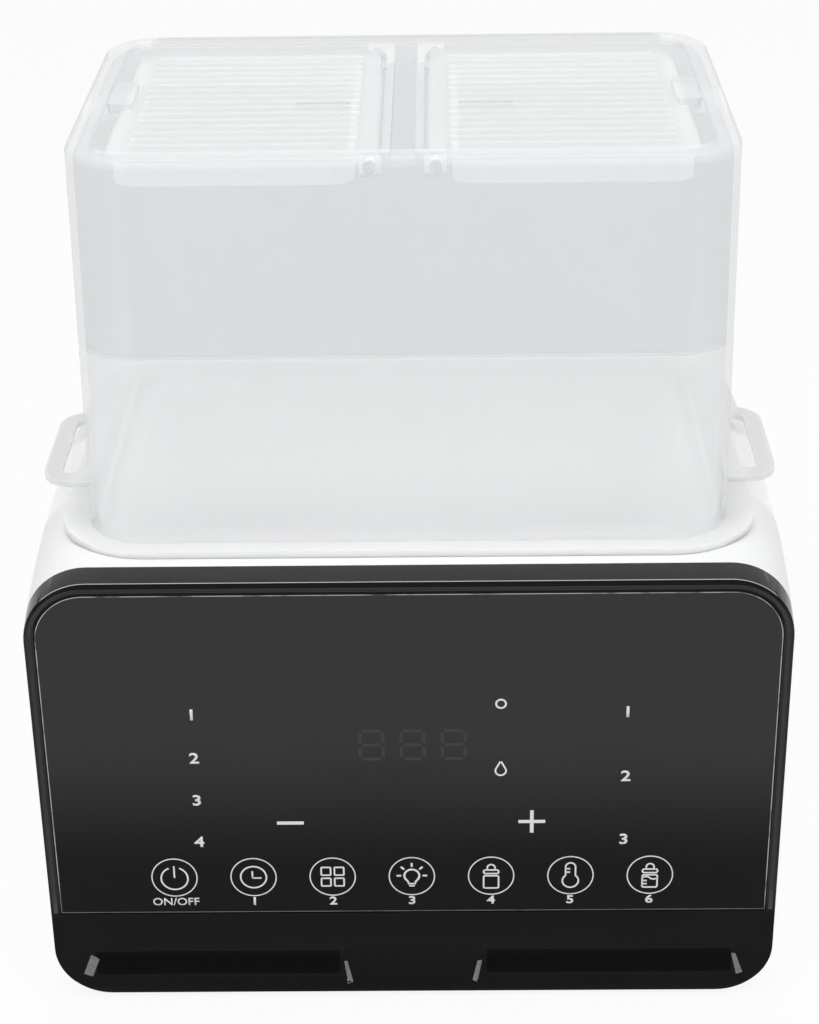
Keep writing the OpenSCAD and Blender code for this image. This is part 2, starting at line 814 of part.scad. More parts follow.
module bottom_cover() {
    color("gainsboro") difference() {
        union() {
            round_plate(cover_w, cover_d, cover_r, foot_drop, cover_t);
            at_corners(power_fix_x, power_fix_y)
                translate([0, 0, cover_top - cover_t / 2])
                    cylinder(h = power_post_h + cover_t / 2, r = post_r);
        }
        at_corners(cover_fix_x, cover_fix_y) {
            cylinder(h = cover_top + cut, r = screw_r + pin_fit);
            translate([0, 0, foot_drop - cut]) cylinder(h = cut + head_h, r = head_r + pin_fit);
        }
        at_corners(foot_x, foot_y)
            translate([0, 0, foot_drop - cut]) cylinder(h = cut + foot_sink, r = foot_r + pin_fit);
        at_corners(power_fix_x, power_fix_y)
            translate([0, 0, cover_top]) cylinder(h = power_post_h + cut, r = screw_r + thread_fit);
        for (i = [0:vent_count - 1], s = [-1, 1])
            block((i - (vent_count - 1) / 2) * vent_pitch, s * foot_y, foot_drop - cut,
                [vent_w, vent_l, cover_t + 2 * cut]);
    }
}

module cover_screws() {
    color("silver") at_corners(cover_fix_x, cover_fix_y)
        translate([0, 0, foot_drop + head_h]) rotate([180, 0, 0]) screw(sole_t + post_h / 2);
}

module rubber_feet() {
    color("darkslategray") at_corners(foot_x, foot_y)
        cylinder(h = foot_drop + foot_sink, r = foot_r);
}

// Bush for the mains lead, pressed in from inside
module cord_gland() {
    body_l = wall + gland_flange_t;
    color([0.15, 0.15, 0.15]) difference() {
        union() {
            bar_y(gland_x, back_y - body_l, gland_z, body_l, gland_r);
            bar_y(gland_x, back_y - body_l, gland_z, gland_flange_t, gland_flange_r);
        }
        bar_y(gland_x, back_y - body_l - cut, gland_z, body_l + 2 * cut, gland_bore_r);
    }
}

// Basket that lifts out with its two handles

module steam_basket() {
    color([0.9, 0.91, 0.92]) difference() {
        union() {
            round_plate(flange_w, flange_d, flange_corner_r, seat_z, flange_t);
            handles();
            sweep_round(locator_w, locator_d, locator_r)
                translate([-locator_t, seat_z]) square([locator_t, flange_t + locator_h]);
            leaning_box(basket_w, basket_d, basket_r, basket_draft, basket_floor, hood_foot);
        }
        leaning_box(basket_w - 2 * basket_t, basket_d - 2 * basket_t, basket_r - basket_t,
            basket_draft, basket_floor + basket_t, hood_foot + locator_h);
        for (s = [-1, 1]) {
            translate([s * grip_x, 0, seat_z - cut]) linear_extrude(handle_top - seat_z + 2 * cut)
                round_rect(grip_w, grip_l, grip_w / 2 - thread_fit);
            translate([s * bottle_x, 0, basket_floor - cut]) {
                cylinder(h = basket_t + 2 * cut, r = hole_r);
                for (i = [0:holes_round - 1]) rotate([0, 0, 360 / holes_round * i])
                    translate([hole_circle, 0, 0]) cylinder(h = basket_t + 2 * cut, r = hole_r);
            }
        }
    }
    color([0.9, 0.91, 0.92]) for (s = [-1, 1])
        translate([s * bottle_x, 0, basket_floor + basket_t]) difference() {
            cylinder(h = ring_h, r = ring_r);
            translate([0, 0, -cut]) cylinder(h = ring_h + 2 * cut, r = ring_r - bottle_ring_t);
        }
}

// Box with round upright corners whose four walls lean in by lean towards z0
module leaning_box(w, d, r, lean, z0, z1) {
    x = w / 2 - r;
    y = d / 2 - r;
    at_corners(x, y) translate([0, 0, z0]) cylinder(h = z1 - z0, r1 = r - lean, r2 = r);
    translate([0, y, 0]) rotate([90, 0, 0]) linear_extrude(2 * y)
        polygon([[-w / 2 + lean, z0], [w / 2 - lean, z0], [w / 2, z1], [-w / 2, z1]]);
    translate([-x, 0, 0]) rotate([90, 0, 90]) linear_extrude(2 * x)
        polygon([[-d / 2 + lean, z0], [d / 2 - lean, z0], [d / 2, z1], [-d / 2, z1]]);
}

// Handles at both ends, stepped up from the flange so that fingers reach under them
module handles() {
    intersection() {
        for (s = [-1, 1]) translate([0, handle_w / 2 + cut, 0]) rotate([90, 0, 0])
            linear_extrude(handle_w + 2 * cut)
                polygon([[s * handle_root, seat_z], [s * flange_w / 2, seat_z],
                    [s * flange_w / 2, handle_top - flange_t],
                    [s * (handle_end + cut), handle_top - flange_t],
                    [s * (handle_end + cut), handle_top], [s * handle_root, handle_top]]);
        round_plate(2 * handle_end, handle_w, handle_r, seat_z - cut, handle_top - seat_z + 2 * cut);
    }
}

// Hood with its rim, the two rails and the hinge lugs

module hood_shell() {
    color([0.88, 0.89, 0.9, 0.6]) difference() {
        union() {
            sweep_round(hood_w, hood_d, hood_corner_r) hood_section();
            for (s = [-1, 1]) {
                block(s * (rail_out - rail_t / 2), 0, lid_top - rail_h,
                    [rail_t, hood_d - hood_t, rail_h]);
                for (e = [-1, 1]) hinge_lug(s, e);
                tab_shelf(s);
            }
        }
        for (s = [-1, 1], e = [-1, 1])
            bar_y(s * hinge_x, e * (lid_half_d + pin_l / 2 + fit) - pin_l / 2 - fit, hinge_z,
                pin_l + 2 * fit, pin_r + pin_fit);
    }
}

// Section of the hood's wall and rim
module hood_section() {
    polygon([[hood_draft, hood_foot], [0, hood_top - rim_t], [0, hood_top - lip_r],
        [-lip_r, hood_top - lip_r], [-lip_r, hood_top], [-rim_w, hood_top],
        [-rim_w, hood_top - rim_t], [-hood_t, hood_top - rim_t], [hood_draft - hood_t, hood_foot]]);
    translate([-lip_r, hood_top - lip_r]) circle(lip_r);
}

// Block behind the rim that holds one hinge pin
module hinge_lug(s, e) {
    inner = rail_out - rail_t;
    outer = hinge_x + barrel_r;
    y0 = lid_half_d + lug_gap;
    y1 = hood_d / 2 - hood_t / 2;
    block(s * (inner + outer) / 2, e * (y0 + y1) / 2, lid_top - rail_h,
        [outer - inner, y1 - y0, hood_top - rim_t / 2 - lid_top + rail_h]);
}

// Shelf on the end wall that carries the lid's finger tab
module tab_shelf(s) {
    inner = tab_end - shelf_reach;
    outer = hood_w / 2 - hood_t / 2;
    top = lid_top + tab_rise - tab_t - pin_fit;
    block(s * (inner + outer) / 2, 0, top - shelf_t, [outer - inner, tab_w - 2 * tab_r, shelf_t]);
}

// Lids

module left_lid() {
    color([0.93, 0.94, 0.94, 0.7]) lid_form();
}

module right_lid() {
    color([0.93, 0.94, 0.94, 0.7]) mirror([1, 0, 0]) lid_form();
}

// Left lid: ribbed plate, skirt, hinge barrel with its pins, and finger tab
module lid_form() {
    difference() {
        union() {
            lid_plate();
            lid_skirt();
            bar_y(-hinge_x, -lid_half_d, hinge_z, 2 * lid_half_d, barrel_r);
            bar_y(-hinge_x, -lid_half_d - pin_l, hinge_z, 2 * lid_half_d + 2 * pin_l, pin_r);
            lid_ribs();
            finger_tab();
        }
        block(-slot_x, -rib_pitch, lid_top - 2 * lid_t, [slot_l, slot_w, 3 * lid_t]);
        block(-hinge_x + barrel_r - slit_w / 2, lid_half_d - slit_back - slit_l / 2,
            hinge_z - barrel_r - cut, [slit_w + fit, slit_l, 2 * barrel_r + 2 * cut]);
    }
}

module lid_plate() {
    w = lid_end - hinge_x;
    r = lid_corner_r;
    core_d = 2 * (lid_half_d - r + cut);
    translate([-hinge_x - w / 2, 0, 0]) {
        sweep_round(w, 2 * lid_half_d, r) lid_edge_section();
        block(0, 0, lid_top - lid_t, [w - 2 * r + 2 * cut, core_d, lid_t]);
    }
    for (s = [0, 1]) mirror([0, s, 0]) translate([-hinge_x - r, lid_half_d, 0])
        rotate([90, 0, 90]) linear_extrude(r) lid_edge_section();
    block(-hinge_x - r / 2, 0, lid_top - lid_t, [r, core_d, lid_t]);
}

// Section of the lid's edge, from near the corner's middle out to the outline
module lid_edge_section() {
    r = lid_edge_r;
    inner = cut - lid_corner_r;
    translate([inner, lid_top - lid_t]) square([-inner, lid_t - r]);
    translate([inner, lid_top - r]) square([-inner - r, r]);
    translate([-r, lid_top - r]) circle(r);
}

module lid_skirt() {
    r = lid_corner_r - skirt_inset;
    translate([-skirt_mid, 0, 0])
        sweep_round(skirt_w, 2 * (lid_half_d - skirt_inset), r)
            translate([-skirt_t, lid_top - skirt_h]) square([skirt_t, skirt_h - lid_t / 2]);
}

module lid_ribs() {
    length = lid_end - rib_end - hinge_x - rib_start;
    for (i = [0:rib_count - 1])
        translate([-lid_end + rib_end, (i - (rib_count - 1) / 2) * rib_pitch,
            lid_top + rib_rise - rib_r])
            rotate([0, 90, 0]) cylinder(h = length, r = rib_r);
}

module finger_tab() {
    length = tab_end - lid_end + tab_root;
    translate([-tab_end + length / 2, 0, lid_top + tab_rise - tab_t]) linear_extrude(tab_t)
        round_rect(length, tab_w, tab_r);
}

outer_housing();
front_fascia();
panel_film();
control_board();
led_display();
indicator_leds();
touch_pads();
control_board_screws();
fascia_screws();
water_tank();
heating_plate();
plate_gasket();
plate_clamp();
clamp_screws();
ptc_heater();
heater_strap();
temperature_sensor();
thermal_cutout();
power_board();
power_board_screws();
transformer();
relay();
filter_capacitor();
terminal_block();
board_connectors();
bottom_cover();
cover_screws();
rubber_feet();
cord_gland();
steam_basket();
hood_shell();
left_lid();
right_lid();
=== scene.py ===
"""Looks of a double bottle warmer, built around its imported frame.

Metres, Z up, the front towards -Y. Flat marks on the panel are drawn in millimetres
as seen from the front, x to the right and y up, and are then set upright on the film.
"""
import json
from math import cos, pi, radians, sin

import bmesh
import bpy
from bpy.props import FloatProperty, FloatVectorProperty, IntProperty, PointerProperty
from mathutils import Matrix, Vector


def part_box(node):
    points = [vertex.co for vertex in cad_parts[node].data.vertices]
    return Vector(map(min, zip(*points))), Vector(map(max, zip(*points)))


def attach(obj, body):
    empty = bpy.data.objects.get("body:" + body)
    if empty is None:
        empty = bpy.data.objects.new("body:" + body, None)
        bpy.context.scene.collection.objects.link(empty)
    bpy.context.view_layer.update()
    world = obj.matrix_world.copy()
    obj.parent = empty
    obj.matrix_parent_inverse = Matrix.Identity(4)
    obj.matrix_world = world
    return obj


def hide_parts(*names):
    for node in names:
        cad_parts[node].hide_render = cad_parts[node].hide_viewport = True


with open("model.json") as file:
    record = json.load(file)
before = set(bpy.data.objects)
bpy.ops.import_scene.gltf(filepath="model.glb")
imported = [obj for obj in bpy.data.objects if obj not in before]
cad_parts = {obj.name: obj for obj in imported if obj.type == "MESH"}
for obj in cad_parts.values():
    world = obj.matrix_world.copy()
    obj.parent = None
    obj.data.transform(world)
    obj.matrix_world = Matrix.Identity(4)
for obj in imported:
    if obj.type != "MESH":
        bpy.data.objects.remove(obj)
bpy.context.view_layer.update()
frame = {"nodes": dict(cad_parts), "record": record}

bl_info = {
    "name": "Bottle warmer looks",
    "version": (1, 0, 0),
    "blender": (4, 5, 0),
    "location": "View3D > Sidebar > Warmer",
    "description": "Finishes, panel marks, trim and stage of a double bottle warmer",
    "category": "Object",
}

MM = 0.001
FILM_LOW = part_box("panel_film")[0]
FASCIA_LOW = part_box("front_fascia")[0]

# Camera, from a solve on the front panel and the hood's rim
LENS = 81.28
SENSOR = 36.0
CAMERA_PLACE = (0.00911, -0.6243, 0.43827)
CAMERA_PITCH = radians(26.952)
CAMERA_YAW = radians(-0.8625)
CAMERA_ROLL = radians(-0.862)

# Stage, in metres: the floor, how white it is where it is seen, and the lamps
FLOOR_RADIUS, FLOOR_SIDES = 8.0, 96
FLOOR_WHITE = 0.9
SIDE_LAMP_PLACES = {"left_lamp": (-0.85, -0.75, 1.0), "right_lamp": (0.85, -0.75, 1.0)}
SIDE_LAMP_SIZE = 0.7
TOP_LAMP_PLACE = (0.0, -0.25, 1.3)
TOP_LAMP_SIZE = 0.8
LAMP_AIM = (0.0, 0.0, 0.12)

# Marks on the panel, in millimetres from its middle and above the floor
LEFT_MARK_HEIGHTS = (98.1, 83.8, 69.7, 55.5)
RIGHT_MARK_HEIGHTS = (98.2, 77.0, 55.6)
SIDE_MARK_X = 60.5
# Writing: its drop below a key, its heights and how much it is widened, how much less the word's
# strokes are thickened than a number's, and a capital's share of the letter size
LABEL_DROP = 8.6
WORD_HEIGHT, WORD_STRETCH, WORD_THINNING = 2.5, 1.05, 3
KEY_NUMBER_HEIGHT, NUMBER_STRETCH = 2.7, 1.2
CAPITAL_SHARE = 0.7
# Plus and minus: place, half length, line, and where the plus's upright halves begin
ADJUST_X, ADJUST_HEIGHT = 34.3, 62.0
ADJUST_HALF, ADJUST_LINE, ADJUST_START = 3.8, 1.05, 0.53
# Ring and drop beside the display: heights, radii and lines, then the drop's arc and sloping sides
UNIT_X = 25.4
DEGREE_HEIGHT, DEGREE_RADIUS, DEGREE_LINE = 101.2, 1.35, 0.55
DROP_HEIGHT, DROP_RADIUS, DROP_LINE = 79.9, 1.5, 0.5
DROP_SINK, DROP_START, DROP_SWEEP = 0.7, 150, 240
DROP_HALF, DROP_TIP, DROP_RISE = 1.32, 0.1, 2.4
# Unlit digits: height, distance and shift, then width, height of each half, line and gap of the bars
DISPLAY_HEIGHT = 88.0
DIGIT_PITCH, DIGIT_SHIFT = 11.5, 0.8
DIGIT_BARS = (6.4, 4.6, 1.0, 0.7)
# Drawing: distance at which points are merged, degrees in each step of an arc, and its fewest steps
MERGE = 0.002
ARC_STEP, ARC_FEWEST = 6, 6

# Zones of a piece are bounded by limits, each with an axis, the place in metres where the zone begins
# and the place where it is full. X and Y count from the middle to both sides, SUM adds these two, BACK
# counts from the middle towards the back, and Z is the height.

# The film has a painted reflection: lighter above these heights in metres and dark below them
FILM_FADE_FOOT = 0.044
FILM_FADE_HEAD = 0.092
FILM_PAINTED_REFLECTION = (0.034, 0.034, 0.035)
# Painted reflections on the black panel's top, groove and sides, and a painted glow in its groove
TOP_PAINTED_REFLECTION = (0.031, 0.031, 0.032)
GROOVE_PAINTED_REFLECTION = (0.060, 0.060, 0.062)
GROOVE_GLOW = 0.009
SIDE_PAINTED_REFLECTION = (0.020, 0.020, 0.021)
SIDE_PAINTED_REFLECTION_LIMITS = (("X", 0.1012, 0.1022), ("Z", 0.029, 0.036), ("Z", 0.136, 0.124))
# The film's pale edge line, a painted highlight: its dark colour, bright patches per metre and their
# detail, where they begin and are full, and how dim the line is below its limits
LINE_DARK = (0.06, 0.06, 0.06)
LINE_PATCHES, LINE_DETAIL = 170.0, 5.0
LINE_STOPS = (0.30, 0.52)
LINE_LIMITS = (("Z", 0.0315, 0.040),)
LINE_DIM = 0.2
# The black panel's rounded front edge has a painted highlight above these heights in metres
EDGE_HIGHLIGHT_FOOT = 0.122
EDGE_HIGHLIGHT_HEAD = 0.138
# How uneven the clouds make a fade
FADE_HAZE = (0.9, 1.1)

# Finger scoops in the black panel, in millimetres: ends, heights, depth and runs of the slopes
SCOOP_IN, SCOOP_OUT = 18.0, 97.0
SCOOP_LOW, SCOOP_HIGH = 5.6, 19.6
SCOOP_DEPTH = 2.0
SCOOP_END, SCOOP_BROW, SCOOP_LIP = 3.6, 4.0, 1.6
# Painted shade on the scoops' deep floor
SCOOP_PAINTED_SHADE = (0.002, 0.002, 0.0022)
# Half width, half depth and corner radius of the basket's flange, its foot, and the deck under it
FLANGE_HALF = (97.5, 65.3, 25.0)
FLANGE_FOOT = 140.32
DECK_HEIGHT = 140.03
# Foot of the groove beside the film, how far from the middle, the run of its sloping end, its depth
GROOVE_FOOT, GROOVE_X, GROOVE_END = 31.0, 103.6, 8.0
GROOVE_DEPTH = 0.8
# Material places on the black panel
OWN_BLACK, ROUNDED_EDGE, SCOOP_FLOOR, PANEL_TOP, PANEL_GROOVE = range(5)
# How its faces are told apart, in millimetres: what counts as level, a depth that only its sides
# reach, and the play round the groove's ends, floor and walls
LEVEL = 0.02
SIDE_REACH = 6.0
GROOVE_PLAY, GROOVE_FLOOR_PLAY, GROOVE_WALL_PLAY = 1.0, 0.1, 0.05
# Shares of the scoop's depth that are its floor, and how far a floor faces the front or a top faces up
SCOOP_FLOOR_SHARES = (0.8, 1.2)
FACES_FRONT, FACES_UP = -0.5, 0.3
# Edges bent further than the first stay sharp, and faces bent less than the second are joined
SHARP_ANGLE, FLAT_ANGLE = radians(35), radians(0.2)
# Painted glints on plates at the scoops' ends: cuts across them, and their corners, x and height
GLINT_CUTS = 9
PAINTED_SCOOP_GLINTS = (
    ((-94.75, 14.99), (-92.56, 12.77), (-94.76, 7.08), (-97.09, 9.13)),
    ((-20.31, 12.27), (-19.33, 12.63), (-17.74, 5.63), (-19.38, 4.9)),
    ((18.9, 12.73), (20.22, 12.35), (18.9, 5.19), (17.42, 6.13)),
    ((93.36, 13.85), (94.52, 14.21), (96.72, 8.34), (95.03, 6.88)),
)

WHITE = (1.0, 1.0, 1.0, 1.0)
# Detail of the clouds and of the grain, and the grain's height in millimetres
CLOUD_DETAIL, GRAIN_DETAIL = 3.0, 4.0
GRAIN_HEIGHT = 0.1
# Finish of each material slot: two close colours, roughness from and to, grain per metre,
# depth of the grain, and the shader's own constants
FINISHES = {
    "housing_white": ((0.86, 0.865, 0.865), (0.90, 0.905, 0.905), (0.34, 0.44), 900, 0.01, {}),
    "fascia_black": ((0.002, 0.002, 0.0022), (0.004, 0.004, 0.0042), (0.07, 0.14), 700, 0.02,
                     {"Specular IOR Level": 0.12}),
    "film_black": ((0.006, 0.006, 0.0064), (0.008, 0.008, 0.0084), (0.10, 0.18), 500, 0.02,
                   {"Specular IOR Level": 0.1}),
    "circuit_board": ((0.01, 0.10, 0.03), (0.02, 0.17, 0.05), (0.25, 0.45), 600, 0.10, {}),
    "display_white": ((0.62, 0.62, 0.60), (0.70, 0.70, 0.67), (0.35, 0.5), 800, 0.05, {}),
    "lamp_white": ((0.80, 0.76, 0.62), (0.88, 0.84, 0.70), (0.2, 0.35), 900, 0.03, {}),
    "foam_grey": ((0.025, 0.025, 0.026), (0.05, 0.05, 0.052), (0.8, 0.95), 1200, 0.60, {}),
    "steel": ((0.55, 0.55, 0.56), (0.64, 0.64, 0.65), (0.25, 0.45), 1500, 0.08, {"Metallic": 1.0}),
    "tank_grey": ((0.60, 0.61, 0.62), (0.66, 0.67, 0.68), (0.35, 0.5), 700, 0.05, {}),
    "plate_aluminium": ((0.62, 0.62, 0.63), (0.70, 0.70, 0.71), (0.3, 0.5), 1300, 0.10,
                        {"Metallic": 1.0}),
    "seal_red": ((0.30, 0.03, 0.02), (0.38, 0.05, 0.03), (0.5, 0.7), 600, 0.12, {}),
    "heater_aluminium": ((0.52, 0.52, 0.53), (0.60, 0.60, 0.61), (0.35, 0.55), 1100, 0.15,
                         {"Metallic": 1.0}),
    "sensor_epoxy": ((0.45, 0.13, 0.01), (0.55, 0.18, 0.02), (0.2, 0.35), 500, 0.06, {}),
    "bakelite": ((0.06, 0.02, 0.008), (0.09, 0.03, 0.012), (0.35, 0.55), 800, 0.12, {}),
    "transformer_tape": ((0.62, 0.36, 0.02), (0.72, 0.44, 0.04), (0.3, 0.45), 400, 0.08, {}),
    "relay_blue": ((0.01, 0.05, 0.30), (0.015, 0.07, 0.38), (0.3, 0.45), 700, 0.05, {}),
    "capacitor_sleeve": ((0.004, 0.007, 0.045), (0.007, 0.011, 0.06), (0.2, 0.35), 500, 0.04, {}),
    "terminal_green": ((0.012, 0.16, 0.035), (0.018, 0.21, 0.05), (0.3, 0.45), 700, 0.05, {}),
    "connector_ivory": ((0.72, 0.66, 0.50), (0.80, 0.74, 0.58), (0.35, 0.5), 700, 0.05, {}),
    "cover_grey": ((0.66, 0.67, 0.67), (0.72, 0.73, 0.73), (0.45, 0.6), 1600, 0.25, {}),
    "foot_rubber": ((0.008, 0.008, 0.008), (0.014, 0.014, 0.014), (0.7, 0.9), 1400, 0.30, {}),
    "gland_black": ((0.006, 0.006, 0.006), (0.010, 0.010, 0.010), (0.4, 0.55), 1000, 0.10, {}),
    "basket_white": ((0.80, 0.805, 0.81), (0.84, 0.845, 0.85), (0.3, 0.42), 900, 0.04,
                     {"Subsurface Weight": 0.7, "Subsurface Scale": 0.004,
                      "Subsurface Radius": (1.0, 1.0, 1.0)}),
    "hood_frosted": ((0.87, 0.875, 0.88), (0.89, 0.895, 0.90), (0.20, 0.28), 1400, 0.02, {}),
    "lid_frosted": ((0.87, 0.875, 0.88), (0.89, 0.895, 0.90), (0.26, 0.34), 1400, 0.02, {}),
}
# Finish of the pieces and zones that are made here: share of the colour in its darker shade, then
# roughness, grain, depth and constants as above, and clouds per metre
TRIM_FINISHES = {
    "painted_edge_highlight": (1.0, (0.15, 0.25), 900, 0.05, {}),
    "scoop_painted_shade": (0.9, (0.1, 0.2), 700, 0.02, {"Specular IOR Level": 0.06}),
    "panel_top_reflection": (0.9, (0.1, 0.2), 700, 0.02, {"Specular IOR Level": 0.1}),
    "panel_groove_reflection": (0.9, (0.1, 0.2), 700, 0.02,
                     {"Specular IOR Level": 0.1, "Emission Color": WHITE,
                      "Emission Strength": GROOVE_GLOW}),
    "film_edge_highlight": (1.0, (0.3, 0.5), 900, 0.2, {}),
    "scoop_facets": (0.6, (0.2, 0.35), 900, 0.05, {}, 300.0),
    "panel_ink": (0.82, (0.35, 0.55), 2500, 0.05, {}, 400.0),
    "unlit_digits": (0.9, (0.12, 0.2), 600, 0.02, {"Specular IOR Level": 0.1}, 150.0),
    "floor_paper": (0.98, (0.6, 0.8), 300, 0.02, {"Specular IOR Level": 0.1}, 6.0),
}

# How much of each face of a frosted piece is clear, and the tint of what is seen through it
CLEAR_SHARES = {
    "hood_frosted": (0.775, (0.93, 0.935, 0.94)),
    "lid_frosted": (0.55, (0.95, 0.953, 0.957)),
}
# Ground colour of the lids' skirts and the hood's end walls, so that with their painted glow they stay
# even
GLOW_GROUND = (0.60, 0.605, 0.61)
# Painted glow in the basket's room and along the front and back of its flange
ROOM_LIMITS = (("X", 0.0801, 0.0799), ("Y", 0.0504, 0.0502), ("SUM", 0.1229, 0.1225),
               ("Z", 0.0648, 0.0655), ("Z", 0.1419, 0.1415))
ROOM_GLOW = 0.10
FLANGE_EDGE_LIMITS = (("Y", 0.0600, 0.0606), ("Z", 0.14215, 0.1420))
FLANGE_EDGE_GLOW = 0.06
# The basket's thin handles let light through: painted shade makes them greyer and a painted glow more
# even
HANDLE_LIMITS = (("X", 0.0965, 0.1000),)
HANDLE_PAINTED_SHADE = (0.56, 0.565, 0.57)
HANDLE_GLOW = 0.15
# Painted glow on the lids' skirts and hinge pins
SKIRT_LIMITS = (("Z", 0.2482, 0.2472), ("X", 0.0110, 0.0118))
SKIRT_GLOW = 0.51
PIN_LIMITS = (("Z", 0.2482, 0.2472), ("X", 0.0118, 0.0110))
PIN_GLOW = 0.17
# The hood's hinge lugs and its rim's outer edge are thick, so milkier, and the lugs get a painted glow
LUG_LIMITS = (("X", 0.0117, 0.0114), ("X", 0.0030, 0.0033), ("Y", 0.0485, 0.0488),
              ("Y", 0.0525, 0.0518), ("Z", 0.2434, 0.2450), ("Z", 0.2497, 0.2493))
THICK_CLEAR_SHARE = 0.45
LUG_GLOW = 0.20
# Painted glow on the whole hood, its rim, its tab shelves, its foot and its end walls' lower part
HOOD_GLOW = 0.038
RIM_LIMITS = (("Z", 0.2490, 0.2498),)
RIM_GLOW = 0.10
RIM_INNER_LIMITS = (("Y", 0.0536, 0.0532), ("X", 0.0800, 0.0790), ("Z", 0.2490, 0.2498))
RIM_INNER_GLOW = 0.16
SHELF_LIMITS = (("X", 0.0790, 0.0793), ("Y", 0.0090, 0.0088), ("Z", 0.2468, 0.2471),
                ("Z", 0.2496, 0.2493))
SHELF_GLOW = 0.30
FOOT_LIMITS = (("Z", 0.1450, 0.1430),)
FOOT_GLOW = 0.06
END_WALL_LIMITS = (("X", 0.0862, 0.0872), ("Z", 0.190, 0.150), ("Z", 0.1435, 0.1460))
END_WALL_GLOW = 0.20
# The lower part of the hood's front wall is milkier and has a painted glow too
MILK_LIMITS = (("BACK", -0.0420, -0.0545), ("Z", 0.1972, 0.1964))
MILK_CLEAR_SHARE = 0.52
MILK_GLOW_LIMITS = (*MILK_LIMITS, ("Z", 0.210, 0.165))
MILK_GLOW = 0.125
# The rim's outer edge has painted shade, darker at the ends and at the back
RIM_OUTLINES = ((("X", 0.0876, 0.0882), ("Z", 0.2480, 0.2500)),
                (("BACK", 0.0580, 0.0585), ("Z", 0.2480, 0.2500)))
RIM_OUTLINE_SHADE = (0.52, 0.525, 0.53)
# Painted glow on the housing, for the light that comes down through the basket's handles
UNDER_HANDLE_LIMITS = (("X", 0.0920, 0.0960), ("Y", 0.0260, 0.0200), ("Z", 0.118, 0.128))
UNDER_HANDLE_GLOW = 0.16


class WarmerLooks(bpy.types.PropertyGroup):
    """Sizes and colours that a user of the warmer may change."""

    ring_radius: FloatProperty(
        name="Key ring", description="Outer radius of the ring round each key",
        default=6.68 * MM, unit="LENGTH")
    ring_line: FloatProperty(
        name="Ring line", description="Width of the ring's line", default=0.34 * MM, unit="LENGTH")
    icon_line: FloatProperty(
        name="Icon line", description="Width of the lines in the key signs",
        default=0.48 * MM, unit="LENGTH")
    key_pitch: FloatProperty(
        name="Key pitch", description="Distance between neighbouring keys",
        default=22.8 * MM, unit="LENGTH")
    key_height: FloatProperty(
        name="Key height", description="Height of the key row above the floor",
        default=43.3 * MM, unit="LENGTH")
    number_height: FloatProperty(
        name="Number height", description="Height of the plain numbers on the panel",
        default=3.4 * MM, unit="LENGTH")
    number_weight: FloatProperty(
        name="Number weight", description="How much the numbers' strokes are thickened on each side",
        default=0.10 * MM, unit="LENGTH")
    print_depth: FloatProperty(
        name="Print depth", description="How far the print stands out of the film",
        default=0.05 * MM, unit="LENGTH")
    front_edge: FloatProperty(
        name="Front edge", description="Radius of the black panel's front edge",
        default=0.5 * MM, unit="LENGTH")
    edge_segments: IntProperty(
        name="Edge segments", description="Segments across the rounded front edge", default=3, min=1)
    seat_lip: FloatProperty(
        name="Seat lip", description="Width of the lip under the basket's flange",
        default=0.12 * MM, unit="LENGTH")
    film_line: FloatProperty(
        name="Film line", description="Width of the pale line at the film's edge",
        default=0.24 * MM, unit="LENGTH")
    print_colour: FloatVectorProperty(
        name="Print", description="Colour of the printed marks",
        default=(0.80, 0.80, 0.80), size=3, subtype="COLOR", min=0.0, max=1.0)
    line_colour: FloatVectorProperty(
        name="Film edge", description="Colour of the painted highlight on the film's cut edge",
        default=(0.42, 0.42, 0.42), size=3, subtype="COLOR", min=0.0, max=1.0)
    edge_colour: FloatVectorProperty(
        name="Panel edge", description="Colour of the painted highlight on the black panel's upper edge",
        default=(0.50, 0.50, 0.50), size=3, subtype="COLOR", min=0.0, max=1.0)
    facet_colour: FloatVectorProperty(
        name="Scoop glints", description="Colour of the painted glints at the scoops' ends",
        default=(0.24, 0.24, 0.24), size=3, subtype="COLOR", min=0.0, max=1.0)
    ghost_colour: FloatVectorProperty(
        name="Unlit digits", description="Colour of the display's unlit digits",
        default=(0.052, 0.052, 0.053), size=3, subtype="COLOR", min=0.0, max=1.0)
    floor_colour: FloatVectorProperty(
        name="Floor", description="Colour of the floor",
        default=(0.92, 0.92, 0.92), size=3, subtype="COLOR", min=0.0, max=1.0)
    ambient: FloatProperty(
        name="Ambient", description="Strength of the even light from all round", default=0.55, min=0.0)
    side_power: FloatProperty(
        name="Side lamps", description="Power of each large lamp at the front",
        default=4.0, min=0.0, unit="POWER")
    top_power: FloatProperty(
        name="Top lamp", description="Power of the large lamp overhead",
        default=4.6, min=0.0, unit="POWER")


# Finishes


def node_with(tree, kind, **values):
    """New node of that kind, with the named inputs set."""
    node = tree.nodes.new(kind)
    for name, value in values.items():
        node.inputs[name.replace("_", " ")].default_value = value
    return node


def first_node(tree, kind):
    """First node of that kind in a finish."""
    return next(node for node in tree.nodes if node.type == kind)


def feed(tree, value, socket):
    """Links a value to a socket of the finish's shader."""
    tree.links.new(value, tree.nodes["Principled BSDF"].inputs[socket])


def combined(tree, operation, *values):
    """Result of a sum on linked values."""
    sum_node = tree.nodes.new("ShaderNodeMath")
    sum_node.operation = operation
    for place, value in enumerate(values):
        tree.links.new(value, sum_node.inputs[place])
    return sum_node.outputs["Value"]


def from_to(tree, share, low, high):
    """Number that goes from low to high with the share."""
    spread = node_with(tree, "ShaderNodeMapRange", To_Min=low, To_Max=high)
    tree.links.new(share, spread.inputs["Value"])
    return spread.outputs["Result"]


